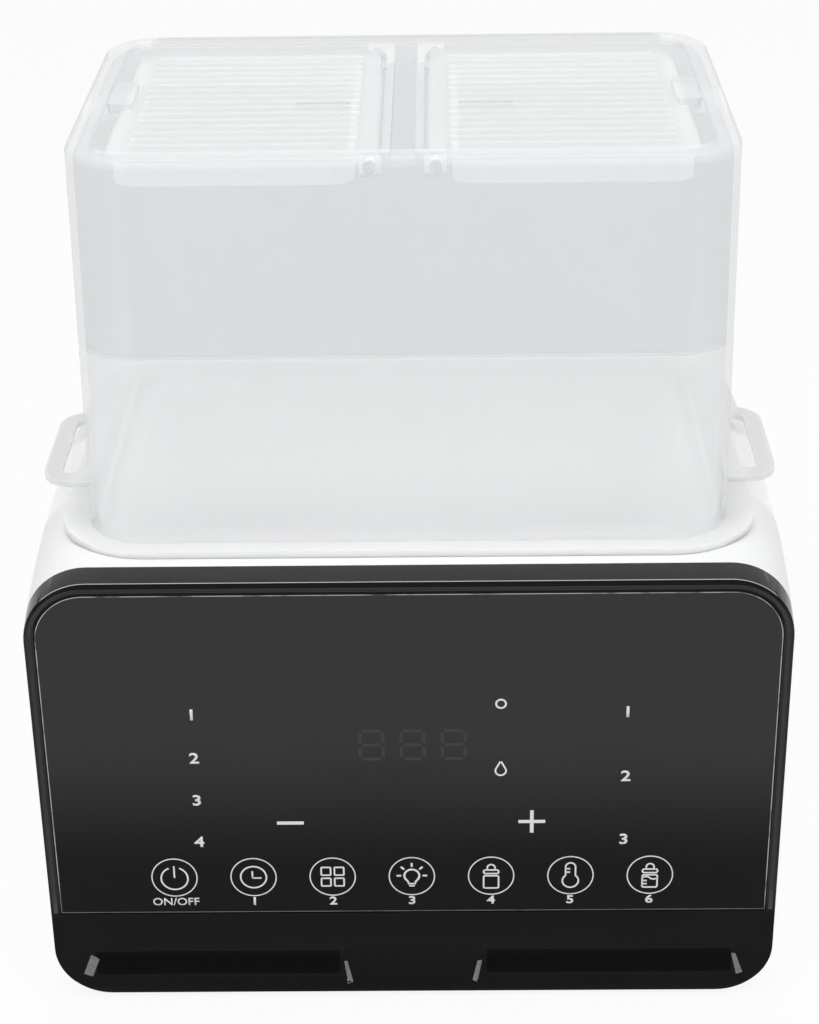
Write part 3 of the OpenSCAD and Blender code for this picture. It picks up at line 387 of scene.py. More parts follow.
def noise_share(tree, coords, scale, detail):
    """Noise that follows the piece's own coordinates."""
    noise = node_with(tree, "ShaderNodeTexNoise", Scale=scale, Detail=detail)
    tree.links.new(coords.outputs["Object"], noise.inputs["Vector"])
    return noise.outputs["Fac"]


def mix_node(tree, factor, colour):
    """Mix of colours that goes to this colour with the factor."""
    mix = tree.nodes.new("ShaderNodeMix")
    mix.data_type = "RGBA"
    tree.links.new(factor, mix.inputs["Factor"])
    mix.inputs["B"].default_value = (*colour, 1.0)
    return mix


def colour_between(tree, factor, low, high):
    """Colour that goes from low to high with the factor."""
    mix = mix_node(tree, factor, high)
    mix.inputs["A"].default_value = (*low, 1.0)
    return mix.outputs["Result"]


def moulded(name, low, high, rough, grain, depth, constants, cloud=30.0):
    """Moulded finish: soft clouds in the colour, uneven gloss and a fine grain."""
    material = bpy.data.materials.new(name)
    material.use_nodes = True
    tree = material.node_tree
    shader = tree.nodes["Principled BSDF"]
    for socket, value in constants.items():
        shader.inputs[socket].default_value = value
    coords = tree.nodes.new("ShaderNodeTexCoord")
    clouds = noise_share(tree, coords, cloud, CLOUD_DETAIL)
    feed(tree, colour_between(tree, clouds, low, high), "Base Color")
    fine = noise_share(tree, coords, grain, GRAIN_DETAIL)
    feed(tree, from_to(tree, fine, *rough), "Roughness")
    bump = node_with(tree, "ShaderNodeBump", Strength=depth, Distance=GRAIN_HEIGHT * MM)
    tree.links.new(fine, bump.inputs["Height"])
    feed(tree, bump.outputs["Normal"], "Normal")
    return material


def slot_finish(slot):
    """Finish of one of the record's material slots, made once."""
    name = slot + "_finish"
    finish = bpy.data.materials.get(name)
    if finish is None:
        finish = moulded(name, *FINISHES[slot])
        if slot in CLEAR_SHARES:
            see_through(finish, *CLEAR_SHARES[slot])
    return finish


def trim_finish(name, colour):
    """Finish of a piece or zone that is made here, in a colour and its darker shade, made once."""
    share, *surface = TRIM_FINISHES[name]
    shade = tuple(share * part for part in colour)
    return bpy.data.materials.get(name) or moulded(name, shade, colour, *surface)


def blended(tree, other):
    """Socket that says how much of another shader is mixed into a finish."""
    blend = tree.nodes.new("ShaderNodeMixShader")
    tree.links.new(tree.nodes["Principled BSDF"].outputs["BSDF"], blend.inputs[1])
    tree.links.new(other, blend.inputs[2])
    tree.links.new(blend.outputs["Shader"], tree.nodes["Material Output"].inputs["Surface"])
    return blend.inputs["Fac"]


def see_through(material, share, tint):
    """Lets part of the light pass straight through a frosted piece."""
    tree = material.node_tree
    clear = node_with(tree, "ShaderNodeBsdfTransparent", Color=(*tint, 1.0))
    blended(tree, clear.outputs["BSDF"]).default_value = share


def object_axis(tree, axis):
    """Place on the piece along one of the axes that zones are bounded by."""
    split = tree.nodes.new("ShaderNodeSeparateXYZ")
    tree.links.new(first_node(tree, "TEX_COORD").outputs["Object"], split.inputs["Vector"])
    if axis in ("Z", "BACK"):
        return split.outputs["Z" if axis == "Z" else "Y"]
    if axis == "SUM":
        return combined(tree, "ADD", object_axis(tree, "X"), object_axis(tree, "Y"))
    return combined(tree, "ABSOLUTE", split.outputs[axis])


def zone(tree, limits):
    """1 inside all the limits and 0 outside them."""
    share = None
    for axis, begins, full in limits:
        within = node_with(tree, "ShaderNodeMapRange", From_Min=begins, From_Max=full)
        tree.links.new(object_axis(tree, axis), within.inputs["Value"])
        result = within.outputs["Result"]
        share = result if share is None else combined(tree, "MULTIPLY", share, result)
    return share


def set_glow(material, *zones, everywhere=0.0):
    """Gives a pale piece a painted glow, more in zones that have their own strength."""
    tree = material.node_tree
    total = None
    for limits, strength in zones:
        low = everywhere if total is None else 0.0
        part = from_to(tree, zone(tree, limits), low, low + strength)
        total = part if total is None else combined(tree, "ADD", total, part)
    tree.nodes["Principled BSDF"].inputs["Emission Color"].default_value = WHITE
    feed(tree, total, "Emission Strength")


def tint_zone(material, limits, colour):
    """Lets the colour go to another one inside a zone."""
    tree = material.node_tree
    cloudy = tree.nodes["Principled BSDF"].inputs["Base Color"].links[0].from_socket
    mix = mix_node(tree, zone(tree, limits), colour)
    tree.links.new(cloudy, mix.inputs["A"])
    feed(tree, mix.outputs["Result"], "Base Color")


def fade_with_height(material, low, high, foot, head):
    """Lets the colour go cloudily from low to high between two heights."""
    tree = material.node_tree
    rise = node_with(tree, "ShaderNodeMapRange", From_Min=foot, From_Max=head)
    rise.interpolation_type = "SMOOTHSTEP"
    tree.links.new(object_axis(tree, "Z"), rise.inputs["Value"])
    clouds = first_node(tree, "TEX_NOISE").outputs["Fac"]
    tree.links.new(from_to(tree, clouds, *FADE_HAZE), rise.inputs["To Max"])
    feed(tree, colour_between(tree, rise.outputs["Result"], low, high), "Base Color")


def broken_line(pale):
    """Finish of the film's cut edge, with a painted highlight only here and there."""
    material = trim_finish("film_edge_highlight", pale)
    tree = material.node_tree
    patches = noise_share(tree, first_node(tree, "TEX_COORD"), LINE_PATCHES, LINE_DETAIL)
    spots = tree.nodes.new("ShaderNodeValToRGB")
    for stop, place in zip(spots.color_ramp.elements, LINE_STOPS):
        stop.position = place
    tree.links.new(patches, spots.inputs["Fac"])
    bright = from_to(tree, zone(tree, LINE_LIMITS), LINE_DIM, 1.0)
    share = combined(tree, "MULTIPLY", spots.outputs["Color"], bright)
    feed(tree, colour_between(tree, share, LINE_DARK, pale), "Base Color")
    return material


# Pieces


def add_piece(name, shape, finish, body):
    """Makes an object of the shape, gives it its finish and lets it ride on a body."""
    mesh = bpy.data.meshes.new(name)
    shape.to_mesh(mesh)
    shape.free()
    mesh.materials.append(finish)
    piece = bpy.data.objects.new(name, mesh)
    bpy.context.scene.collection.objects.link(piece)
    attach(piece, body)
    return piece


def merged_copy(node):
    """Copy of a frame node's shape with its loose triangles merged and its flat faces joined."""
    shape = bmesh.new()
    shape.from_mesh(frame["nodes"][node].data)
    bmesh.ops.remove_doubles(shape, verts=shape.verts, dist=MERGE * MM)
    bmesh.ops.dissolve_limit(
        shape, angle_limit=FLAT_ANGLE, use_dissolve_boundaries=False,
        verts=shape.verts, edges=shape.edges)
    return shape


def give_thickness(shape, offset):
    """Makes flat faces into closed plates that reach as far as the offset."""
    plates = bmesh.ops.extrude_face_region(shape, geom=list(shape.faces), use_keep_orig=True)
    moved = [part for part in plates["geom"] if isinstance(part, bmesh.types.BMVert)]
    bmesh.ops.translate(shape, verts=moved, vec=offset)
    bmesh.ops.recalc_face_normals(shape, faces=shape.faces)


# Flat marks, drawn in millimetres


def bar(shape, start, end, width):
    """Straight bar between two points."""
    run = Vector(end) - Vector(start)
    middle = (Vector(start) + Vector(end)) / 2
    turn = Matrix.Rotation(run.to_2d().angle_signed(Vector((1.0, 0.0)), 0.0), 4, "Z")
    size = Matrix.Diagonal((run.length, width, 1.0, 1.0))
    place = Matrix.Translation(middle.to_3d()) @ turn @ size
    bmesh.ops.create_grid(shape, x_segments=1, y_segments=1, size=0.5, matrix=place)


def arc(shape, centre, radius, width, start, sweep):
    """Band along part of a circle, angles in degrees, or along all of it."""
    ray = Vector((cos(radians(start)), sin(radians(start)), 0.0))
    middle = Vector(centre).to_3d()
    inner = shape.verts.new(middle + ray * (radius - width / 2))
    outer = shape.verts.new(middle + ray * (radius + width / 2))
    edge = shape.edges.new((inner, outer))
    steps = max(ARC_FEWEST, round(abs(sweep) / ARC_STEP))
    bmesh.ops.spin(
        shape, geom=[inner, outer, edge], cent=middle, axis=(0, 0, 1), dvec=(0, 0, 0),
        angle=radians(sweep), steps=steps, use_merge=abs(sweep) == 360)


def frame_of_bars(shape, left, low, right, high, width, corner):
    """Rectangle drawn as a line, with round corners."""
    for y in (low, high):
        bar(shape, (left + corner, y), (right - corner, y), width)
    for x in (left, right):
        bar(shape, (x, low + corner), (x, high - corner), width)
    corners = ((right, high, 0), (left, high, 90), (left, low, 180), (right, low, 270))
    for x, y, start in corners:
        centre = (x - corner if x == right else x + corner, y - corner if y == high else y + corner)
        arc(shape, centre, corner, width, start, 90)


def power_sign(shape, line):
    """Open ring with a bar through its gap."""
    arc(shape, (0, -0.3), 3.85, line, 113, 314)
    bar(shape, (0, -0.1), (0, 4.0), line)


def clock_sign(shape, line):
    """Clock face with two hands."""
    arc(shape, (0.0, 0.0), 3.7, line, 0, 360)
    bar(shape, (-0.3, -0.45), (-0.3, 2.1), line)
    bar(shape, (-0.54, -0.3), (2.3, -0.3), line)


def squares_sign(shape, line):
    """Four small squares."""
    for x in (-1.9, 1.9):
        for y in (-1.9, 1.9):
            frame_of_bars(shape, x - 1.35, y - 1.35, x + 1.35, y + 1.35, line, 0.3)


def bulb_sign(shape, line):
    """Light bulb with five rays."""
    bold = line * 1.2
    middle = Vector((0, 0.2))
    arc(shape, middle, 2.15, bold, -50, 280)
    for side in (-1, 1):
        bar(shape, (side * 1.38, -1.45), (side * 0.95, -2.25), bold)
    bar(shape, (-1.15, -2.6), (1.15, -2.6), line)
    bar(shape, (-0.8, -3.35), (0.8, -3.35), line)
    for step in range(5):
        ray = Vector((cos(step * pi / 4), sin(step * pi / 4)))
        bar(shape, ray * 3.1 + middle, ray * 4.4 + middle, bold)


def bottle_sign(shape, line):
    """Baby bottle with its collar and teat."""
    arc(shape, (0, 2.8), 1.1, line, 0, 180)
    for side in (-1, 1):
        bar(shape, (side * 1.1, 2.8), (side * 1.1, 2.1), line)
    frame_of_bars(shape, -2.15, 0.75, 2.15, 2.0, line, 0.55)
    frame_of_bars(shape, -2.15, -4.3, 2.15, 0.0, line, 0.5)


def thermometer_sign(shape, line):
    """Thermometer with a round bulb and two ticks."""
    arc(shape, (0, -1.9), 2.3, line, 128, 284)
    for side in (-1, 1):
        bar(shape, (side * 1.42, -0.15), (side * 1.42, 2.9), line)
    arc(shape, (0, 2.9), 1.42, line, 0, 180)
    for height in (1.1, 2.3):
        bar(shape, (-1.4, height), (-0.1, height), line)


def filled_bottle_sign(shape, line):
    """Baby bottle with a level and two ticks."""
    bottle_sign(shape, line)
    arc(shape, (-1.05, -2.1), 1.5, line, 45, 90)
    arc(shape, (1.05, 0.02), 1.5, line, 225, 90)
    for height in (-2.0, -3.1):
        bar(shape, (-2.1, height), (-0.8, height), line)


KEY_SIGNS = (power_sign, clock_sign, squares_sign, bulb_sign, bottle_sign, thermometer_sign,
             filled_bottle_sign)


def move_last(shape, before, offset):
    """Moves what was drawn after the first vertices."""
    moved = list(shape.verts)[before:]
    bmesh.ops.translate(shape, verts=moved, vec=Vector(offset).to_3d())


def add_number(shape, words, centre, height, stretch, weight):
    """Writes a plain number or word, its middle at the centre."""
    curve = bpy.data.curves.new("number", "FONT")
    curve.body = words
    curve.align_x = "CENTER"
    curve.align_y = "CENTER"
    curve.size = height / CAPITAL_SHARE
    curve.offset = weight
    curve.resolution_u = 4
    holder = bpy.data.objects.new("number", curve)
    mesh = holder.to_mesh()
    before = len(shape.verts)
    shape.from_mesh(mesh)
    shape.verts.ensure_lookup_table()
    written = list(shape.verts)[before:]
    bmesh.ops.scale(shape, vec=(stretch, 1.0, 1.0), verts=written)
    bmesh.ops.translate(shape, vec=Vector(centre).to_3d(), verts=written)
    holder.to_mesh_clear()
    bpy.data.objects.remove(holder)
    bpy.data.curves.remove(curve)


def set_on_film(shape, depth):
    """Gives a flat drawing its thickness and sets it upright on the film."""
    bmesh.ops.remove_doubles(shape, verts=shape.verts, dist=MERGE)
    give_thickness(shape, (0, 0, 2 * depth / MM))
    upright = Matrix.Translation((0, FILM_LOW.y + depth, 0)) @ Matrix.Rotation(pi / 2, 4, "X")
    bmesh.ops.transform(shape, verts=shape.verts, matrix=upright @ Matrix.Scale(MM, 4))


# Operators


class WARMER_OT_finishes(bpy.types.Operator):
    """Gives every piece of the frame the finish of its material slot"""

    bl_idname = "warmer.finishes"
    bl_label = "Finishes of the frame"

    def execute(self, context):
        for part in frame["record"]["subparts"]:
            mesh = frame["nodes"][part["node"]].data
            finish = slot_finish(part["material_slot"])
            mesh.materials.clear()
            mesh.materials.append(finish)
        # The film gets a painted reflection, lighter towards the top
        dark = FINISHES["film_black"][0]
        fade_with_height(slot_finish("film_black"), dark, FILM_PAINTED_REFLECTION, FILM_FADE_FOOT, FILM_FADE_HEAD)
        # The black panel's sides get a painted reflection
        tint_zone(slot_finish("fascia_black"), SIDE_PAINTED_REFLECTION_LIMITS, SIDE_PAINTED_REFLECTION)
        basket = slot_finish("basket_white")
        # The basket's handles get painted shade and a painted glow, its room and flange edge a painted
        # glow
        tint_zone(basket, HANDLE_LIMITS, HANDLE_PAINTED_SHADE)
        set_glow(basket, (ROOM_LIMITS, ROOM_GLOW), (HANDLE_LIMITS, HANDLE_GLOW),
                 (FLANGE_EDGE_LIMITS, FLANGE_EDGE_GLOW))
        # The lids' skirts get a darker ground under a painted glow, and their hinge pins a painted glow
        lids = slot_finish("lid_frosted")
        tint_zone(lids, SKIRT_LIMITS, GLOW_GROUND)
        set_glow(lids, (SKIRT_LIMITS, SKIRT_GLOW), (PIN_LIMITS, PIN_GLOW))
        # The housing gets a painted glow under the basket's handles
        set_glow(slot_finish("housing_white"), (UNDER_HANDLE_LIMITS, UNDER_HANDLE_GLOW))
        hood = slot_finish("hood_frosted")
        # The hood's end walls get a darker ground under the hood's painted glow
        tint_zone(hood, END_WALL_LIMITS, GLOW_GROUND)
        # The rim's outer edge gets painted shade
        for limits in RIM_OUTLINES:
            tint_zone(hood, limits, RIM_OUTLINE_SHADE)
        # The whole hood gets a painted glow, stronger in zones
        set_glow(hood, (LUG_LIMITS, LUG_GLOW), (RIM_LIMITS, RIM_GLOW),
                 (RIM_INNER_LIMITS, RIM_INNER_GLOW), (SHELF_LIMITS, SHELF_GLOW),
                 (FOOT_LIMITS, FOOT_GLOW), (END_WALL_LIMITS, END_WALL_GLOW),
                 (MILK_GLOW_LIMITS, MILK_GLOW), everywhere=HOOD_GLOW)
        self.make_milkier(hood)
        return {"FINISHED"}

    @staticmethod
    def make_milkier(hood):
        """Makes the hood's lugs, its rim's outer edge and its lower front wall milkier."""
        tree = hood.node_tree
        thick = zone(tree, LUG_LIMITS)
        for limits in RIM_OUTLINES:
            thick = combined(tree, "MAXIMUM", thick, zone(tree, limits))
        clear = CLEAR_SHARES["hood_frosted"][0]
        share = from_to(tree, thick, clear, THICK_CLEAR_SHARE)
        milk = from_to(tree, zone(tree, MILK_LIMITS), 0.0, clear - MILK_CLEAR_SHARE)
        blend = first_node(tree, "MIX_SHADER")
        tree.links.new(combined(tree, "SUBTRACT", share, milk), blend.inputs["Fac"])


class WARMER_OT_seat_lip(bpy.types.Operator):
    """Thin lip under the basket's flange that closes the gap above the housing"""

    bl_idname = "warmer.seat_lip"
    bl_label = "Seat lip"

    def execute(self, context):
        looks = context.scene.warmer_looks
        shape = bmesh.new()
        half_w, half_d, corner = FLANGE_HALF
        inset = looks.seat_lip / MM
        frame_of_bars(shape, inset - half_w, inset - half_d, half_w - inset, half_d - inset, inset,
                      corner - inset)
        bmesh.ops.remove_doubles(shape, verts=shape.verts, dist=MERGE)
        give_thickness(shape, (0, 0, FLANGE_FOOT - DECK_HEIGHT))
        bmesh.ops.translate(shape, verts=shape.verts, vec=(0, 0, DECK_HEIGHT))
        bmesh.ops.transform(shape, verts=shape.verts, matrix=Matrix.Scale(MM, 4))
        add_piece("seat_lip", shape, slot_finish("basket_white"), "basket")
        return {"FINISHED"}


class WARMER_OT_front_panel(bpy.types.Operator):
    """Black front panel whose front edge is rounded off"""

    bl_idname = "warmer.front_panel"
    bl_label = "Front panel"

    def execute(self, context):
        looks = context.scene.warmer_looks
        shape = merged_copy("front_fascia")
        front = FASCIA_LOW.y + LEVEL * MM
        back = FASCIA_LOW.y + SIDE_REACH * MM
        rim = [edge for edge in shape.edges
               if all(vert.co.y < front for vert in edge.verts)
               and any(max(vert.co.y for vert in face.verts) > back for face in edge.link_faces)]
        if not rim:
            raise RuntimeError("the front panel has no front edge to round off")
        rounded = bmesh.ops.bevel(
            shape, geom=rim, offset=looks.front_edge, offset_type="OFFSET",
            segments=looks.edge_segments, profile=0.5, affect="EDGES", material=-1, clamp_overlap=True)
        for face in rounded["faces"]:
            face.material_index = ROUNDED_EDGE
        for face in shape.faces:
            if face.material_index == OWN_BLACK:
                face.material_index = self.zone_of(face)
        for vert in shape.verts:
            at_foot = abs(vert.co.z - GROOVE_FOOT * MM) < LEVEL * MM
            beside_film = abs(abs(vert.co.x) - GROOVE_X * MM) < GROOVE_PLAY * MM
            if at_foot and beside_film and front < vert.co.y < back:
                vert.co.z += GROOVE_END * MM
        piece = add_piece("front_panel", shape, slot_finish("fascia_black"), "base")
        # The rounded front edge gets a painted highlight, brighter towards the top
        dark = FINISHES["fascia_black"][0]
        painted_highlight = trim_finish("painted_edge_highlight", dark)
        fade_with_height(painted_highlight, dark, tuple(looks.edge_colour), EDGE_HIGHLIGHT_FOOT, EDGE_HIGHLIGHT_HEAD)
        piece.data.materials.append(painted_highlight)
        # Zones of the panel get painted shade in the scoops and painted reflections on the top and in
        # the groove
        zones = (("scoop_painted_shade", SCOOP_PAINTED_SHADE), ("panel_top_reflection", TOP_PAINTED_REFLECTION), ("panel_groove_reflection", GROOVE_PAINTED_REFLECTION))
        for name, colour in zones:
            piece.data.materials.append(trim_finish(name, colour))
        piece.data.shade_smooth()
        piece.data.set_sharp_from_angle(angle=SHARP_ANGLE)
        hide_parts("front_fascia")
        return {"FINISHED"}

    @staticmethod
    def zone_of(face):
        """Material place of a face: painted shade on the scoop floor, painted reflection on the top or
        groove, or the panel's own black.
        """
        middle = face.calc_center_median()
        depth = middle.y - FASCIA_LOW.y
        if middle.z < SCOOP_HIGH * MM:
            least, most = (share * SCOOP_DEPTH * MM for share in SCOOP_FLOOR_SHARES)
            deep = least < depth < most
            return SCOOP_FLOOR if deep and face.normal.y < FACES_FRONT else OWN_BLACK
        if face.normal.z > FACES_UP and depth > 2 * GROOVE_DEPTH * MM:
            return PANEL_TOP
        groove_floor = abs(depth - GROOVE_DEPTH * MM) < GROOVE_FLOOR_PLAY * MM
        groove_wall = abs(depth - GROOVE_DEPTH * MM / 2) < GROOVE_WALL_PLAY * MM
        return PANEL_GROOVE if groove_floor or groove_wall else OWN_BLACK


class WARMER_OT_film_edge(bpy.types.Operator):
    """Pale line where the film's cut edge catches the light, as a painted highlight"""

    bl_idname = "warmer.film_edge"
    bl_label = "Film edge"

    def execute(self, context):
        looks = context.scene.warmer_looks
        shape = merged_copy("panel_film")
        face = min(shape.faces, key=lambda item: item.calc_center_median().y)
        others = [item for item in shape.faces if item is not face]
        bmesh.ops.delete(shape, geom=others, context="FACES")
        bmesh.ops.inset_region(shape, faces=list(shape.faces), thickness=looks.film_line,
                               use_boundary=True, use_even_offset=True)
        inner = max(shape.faces, key=lambda item: item.calc_area())
        bmesh.ops.delete(shape, geom=[inner], context="FACES_ONLY")
        give_thickness(shape, (0, -looks.print_depth, 0))
        add_piece("film_edge", shape, broken_line(tuple(looks.line_colour)), "base")
        return {"FINISHED"}


def scoop_depth(x, height):
    """Depth of a scoop's surface below the panel's front, in millimetres."""
    runs = ((abs(x) - SCOOP_IN) / SCOOP_END, (SCOOP_OUT - abs(x)) / SCOOP_END,
            (height - SCOOP_LOW) / SCOOP_LIP, (SCOOP_HIGH - height) / SCOOP_BROW, 1.0)
    return SCOOP_DEPTH * max(0.0, min(runs))


class WARMER_OT_scoop_facets(bpy.types.Operator):
    """Painted glints on thin plates at the ends of the finger scoops"""

    bl_idname = "warmer.scoop_facets"
    bl_label = "Scoop glints"

    def execute(self, context):
        looks = context.scene.warmer_looks
        shape = bmesh.new()
        front = FASCIA_LOW.y - looks.print_depth
        for corners in PAINTED_SCOOP_GLINTS:
            shape.faces.new([shape.verts.new((x * MM, front, height * MM)) for x, height in corners])
        bmesh.ops.subdivide_edges(shape, edges=list(shape.edges), cuts=GLINT_CUTS, use_grid_fill=True)
        for vert in shape.verts:
            vert.co.y += scoop_depth(vert.co.x / MM, vert.co.z / MM) * MM
        give_thickness(shape, (0, 2 * looks.print_depth, 0))
        finish = trim_finish("scoop_facets", tuple(looks.facet_colour))
        add_piece("scoop_facets", shape, finish, "base")
        return {"FINISHED"}


class WARMER_OT_key_marks(bpy.types.Operator):
    """Seven ringed key signs with their numbers"""

    bl_idname = "warmer.key_marks"
    bl_label = "Key marks"

    def execute(self, context):
        looks = context.scene.warmer_looks
        shape = bmesh.new()
        ring_line = looks.ring_line / MM
        ring_middle = looks.ring_radius / MM - ring_line / 2
        height = looks.key_height / MM
        weight = looks.number_weight / MM
        for place, sign in enumerate(KEY_SIGNS):
            x = (place - (len(KEY_SIGNS) - 1) / 2) * looks.key_pitch / MM
            before = len(shape.verts)
            sign(shape, looks.icon_line / MM)
            arc(shape, (0, 0), ring_middle, ring_line, 0, 360)
            shape.verts.ensure_lookup_table()
            move_last(shape, before, (x, height))
            label = (x, height - LABEL_DROP)
            if place == 0:
                add_number(shape, "ON/OFF", label, WORD_HEIGHT, WORD_STRETCH, weight / WORD_THINNING)
            else:
                add_number(shape, str(place), label, KEY_NUMBER_HEIGHT, NUMBER_STRETCH, weight)
        set_on_film(shape, looks.print_depth)
        ink = trim_finish("panel_ink", tuple(looks.print_colour))
        add_piece("key_marks", shape, ink, "base")
        return {"FINISHED"}


class WARMER_OT_side_marks(bpy.types.Operator):
    """Plain numbers at the sides, plus and minus, and the two signs beside the display"""

    bl_idname = "warmer.side_marks"
    bl_label = "Side marks"

    def execute(self, context):
        looks = context.scene.warmer_looks
        shape = bmesh.new()
        size = looks.number_height / MM
        weight = looks.number_weight / MM
        for side, heights in ((-1, LEFT_MARK_HEIGHTS), (1, RIGHT_MARK_HEIGHTS)):
            for count, height in enumerate(heights):
                place = (side * SIDE_MARK_X, height)
                add_number(shape, str(count + 1), place, size, NUMBER_STRETCH, weight)
        for side in (-1, 1):
            x = side * ADJUST_X
            bar(shape, (x - ADJUST_HALF, ADJUST_HEIGHT), (x + ADJUST_HALF, ADJUST_HEIGHT), ADJUST_LINE)
        for end in (-1, 1):
            inner = ADJUST_HEIGHT + end * ADJUST_START
            outer = ADJUST_HEIGHT + end * ADJUST_HALF
            bar(shape, (ADJUST_X, inner), (ADJUST_X, outer), ADJUST_LINE)
        arc(shape, (UNIT_X, DEGREE_HEIGHT), DEGREE_RADIUS, DEGREE_LINE, 0, 360)
        arc(shape, (UNIT_X, DROP_HEIGHT - DROP_SINK), DROP_RADIUS, DROP_LINE, DROP_START, DROP_SWEEP)
        for side in (-1, 1):
            foot = (UNIT_X + side * DROP_HALF, DROP_HEIGHT)
            tip = (UNIT_X + side * DROP_TIP, DROP_HEIGHT + DROP_RISE)
            bar(shape, foot, tip, DROP_LINE)
        set_on_film(shape, looks.print_depth)
        ink = trim_finish("panel_ink", tuple(looks.print_colour))
        add_piece("side_marks", shape, ink, "base")
        return {"FINISHED"}


class WARMER_OT_unlit_digits(bpy.types.Operator):
    """Three unlit digits that show faintly behind the film"""

    bl_idname = "warmer.unlit_digits"
    bl_label = "Unlit digits"

    def execute(self, context):
        looks = context.scene.warmer_looks
        shape = bmesh.new()
        wide, tall, line, gap = DIGIT_BARS
        for step in (-1, 0, 1):
            x = step * DIGIT_PITCH + DIGIT_SHIFT
            for level in (-1, 0, 1):
                y = DISPLAY_HEIGHT + level * tall
                bar(shape, (x - wide / 2 + gap, y), (x + wide / 2 - gap, y), line)
            for side in (-1, 1):
                for level in (-1, 0):
                    low = DISPLAY_HEIGHT + level * tall + gap
                    high = low + tall - 2 * gap
                    bar(shape, (x + side * wide / 2, low), (x + side * wide / 2, high), line)
        set_on_film(shape, looks.print_depth / 2)
        finish = trim_finish("unlit_digits", tuple(looks.ghost_colour))
        add_piece("unlit_digits", shape, finish, "base")
        return {"FINISHED"}


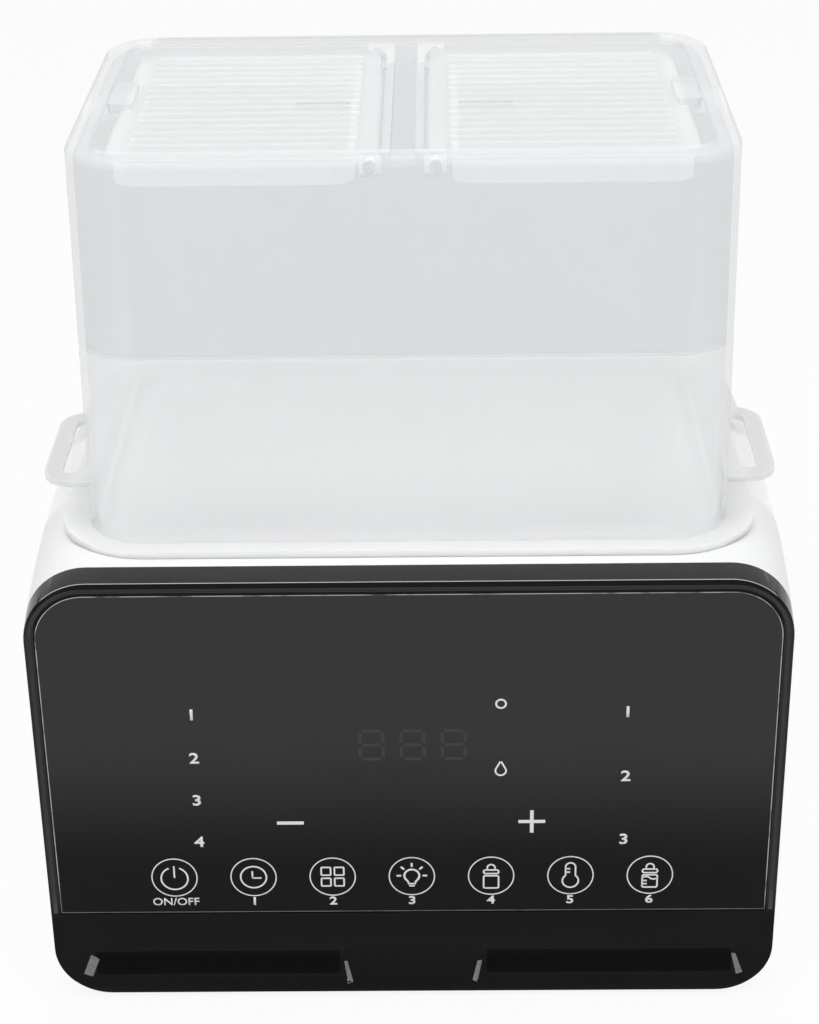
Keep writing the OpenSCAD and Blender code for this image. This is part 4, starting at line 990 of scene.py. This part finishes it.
class WARMER_OT_stage(bpy.types.Operator):
    """Camera at the photograph's place, soft lamps, even surroundings and a pale floor"""

    bl_idname = "warmer.stage"
    bl_label = "Stage"

    def execute(self, context):
        looks = context.scene.warmer_looks
        self.set_camera(context.scene)
        self.set_world(context.scene, looks.ambient)
        self.add_floor(looks)
        for name, place in SIDE_LAMP_PLACES.items():
            self.add_lamp(name, place, SIDE_LAMP_SIZE, looks.side_power)
        self.add_lamp("top_lamp", TOP_LAMP_PLACE, TOP_LAMP_SIZE, looks.top_power)
        context.scene.view_settings.view_transform = "Standard"
        return {"FINISHED"}

    @staticmethod
    def set_camera(scene):
        """Camera with the photograph's angle and frame."""
        level = cos(CAMERA_PITCH)
        ahead = Vector((sin(CAMERA_YAW) * level, cos(CAMERA_YAW) * level, -sin(CAMERA_PITCH)))
        right = Vector((cos(CAMERA_YAW), -sin(CAMERA_YAW), 0.0))
        up = right.cross(ahead)
        leaned_right = right * cos(CAMERA_ROLL) + up * sin(CAMERA_ROLL)
        leaned_up = up * cos(CAMERA_ROLL) - right * sin(CAMERA_ROLL)
        turn = Matrix((leaned_right, leaned_up, -ahead)).transposed().to_4x4()
        data = bpy.data.cameras.new("camera")
        data.lens = LENS
        data.sensor_width = SENSOR
        camera = bpy.data.objects.new("camera", data)
        camera.matrix_world = Matrix.Translation(CAMERA_PLACE) @ turn
        scene.collection.objects.link(camera)
        scene.camera = camera

    @staticmethod
    def set_world(scene, ambient):
        """Even light, with a white background where it is seen or mirrored."""
        world = bpy.data.worlds.new("surroundings")
        world.use_nodes = True
        tree = world.node_tree
        seen = any_light_path(tree, ("Is Camera Ray", "Is Glossy Ray", "Is Transmission Ray"))
        background = tree.nodes["Background"]
        background.inputs["Color"].default_value = WHITE
        tree.links.new(from_to(tree, seen, ambient, 1.0), background.inputs["Strength"])
        scene.world = world

    @staticmethod
    def add_floor(looks):
        """Large pale floor that keeps the object's shadow."""
        shape = bmesh.new()
        bmesh.ops.create_circle(shape, cap_ends=True, segments=FLOOR_SIDES, radius=FLOOR_RADIUS)
        mesh = bpy.data.meshes.new("floor")
        shape.to_mesh(mesh)
        shape.free()
        finish = trim_finish("floor_paper", tuple(looks.floor_colour))
        tree = finish.node_tree
        glow = node_with(tree, "ShaderNodeEmission", Strength=1.0)
        seen = any_light_path(tree, ("Is Camera Ray", "Is Transmission Ray"))
        share = from_to(tree, seen, 0.0, FLOOR_WHITE)
        tree.links.new(share, blended(tree, glow.outputs["Emission"]))
        mesh.materials.append(finish)
        floor = bpy.data.objects.new("floor", mesh)
        bpy.context.scene.collection.objects.link(floor)

    @staticmethod
    def add_lamp(name, place, size, power):
        """Square soft lamp that points at the middle of the warmer."""
        data = bpy.data.lights.new(name, "AREA")
        data.size = size
        data.energy = power
        lamp = bpy.data.objects.new(name, data)
        aim = Vector(LAMP_AIM) - Vector(place)
        turn = aim.to_track_quat("-Z", "Y").to_matrix().to_4x4()
        lamp.matrix_world = Matrix.Translation(place) @ turn
        bpy.context.scene.collection.objects.link(lamp)


def any_light_path(tree, outputs):
    """1 where any of the named kinds of ray looks."""
    path = tree.nodes.new("ShaderNodeLightPath")
    result = path.outputs[outputs[0]]
    for name in outputs[1:]:
        result = combined(tree, "MAXIMUM", result, path.outputs[name])
    return result


class WARMER_PT_looks(bpy.types.Panel):
    """Sizes, colours and steps of the warmer's looks"""

    bl_idname = "WARMER_PT_looks"
    bl_label = "Bottle warmer"
    bl_space_type = "VIEW_3D"
    bl_region_type = "UI"
    bl_category = "Warmer"

    def draw(self, context):
        looks = context.scene.warmer_looks
        for name in WarmerLooks.__annotations__:
            self.layout.prop(looks, name)
        for step in STEPS:
            self.layout.operator(step.bl_idname)


STEPS = (WARMER_OT_finishes, WARMER_OT_seat_lip, WARMER_OT_front_panel, WARMER_OT_film_edge,
         WARMER_OT_scoop_facets, WARMER_OT_key_marks, WARMER_OT_side_marks, WARMER_OT_unlit_digits,
         WARMER_OT_stage)
CLASSES = (WarmerLooks, *STEPS, WARMER_PT_looks)


def register():
    for item in CLASSES:
        bpy.utils.register_class(item)
    bpy.types.Scene.warmer_looks = PointerProperty(type=WarmerLooks)


def unregister():
    del bpy.types.Scene.warmer_looks
    for item in reversed(CLASSES):
        bpy.utils.unregister_class(item)


def main():
    register()
    bpy.ops.warmer.finishes()
    bpy.ops.warmer.seat_lip()
    bpy.ops.warmer.front_panel()
    bpy.ops.warmer.film_edge()
    bpy.ops.warmer.scoop_facets()
    bpy.ops.warmer.key_marks()
    bpy.ops.warmer.side_marks()
    bpy.ops.warmer.unlit_digits()
    bpy.ops.warmer.stage()


if __name__ == "__main__":
    main()
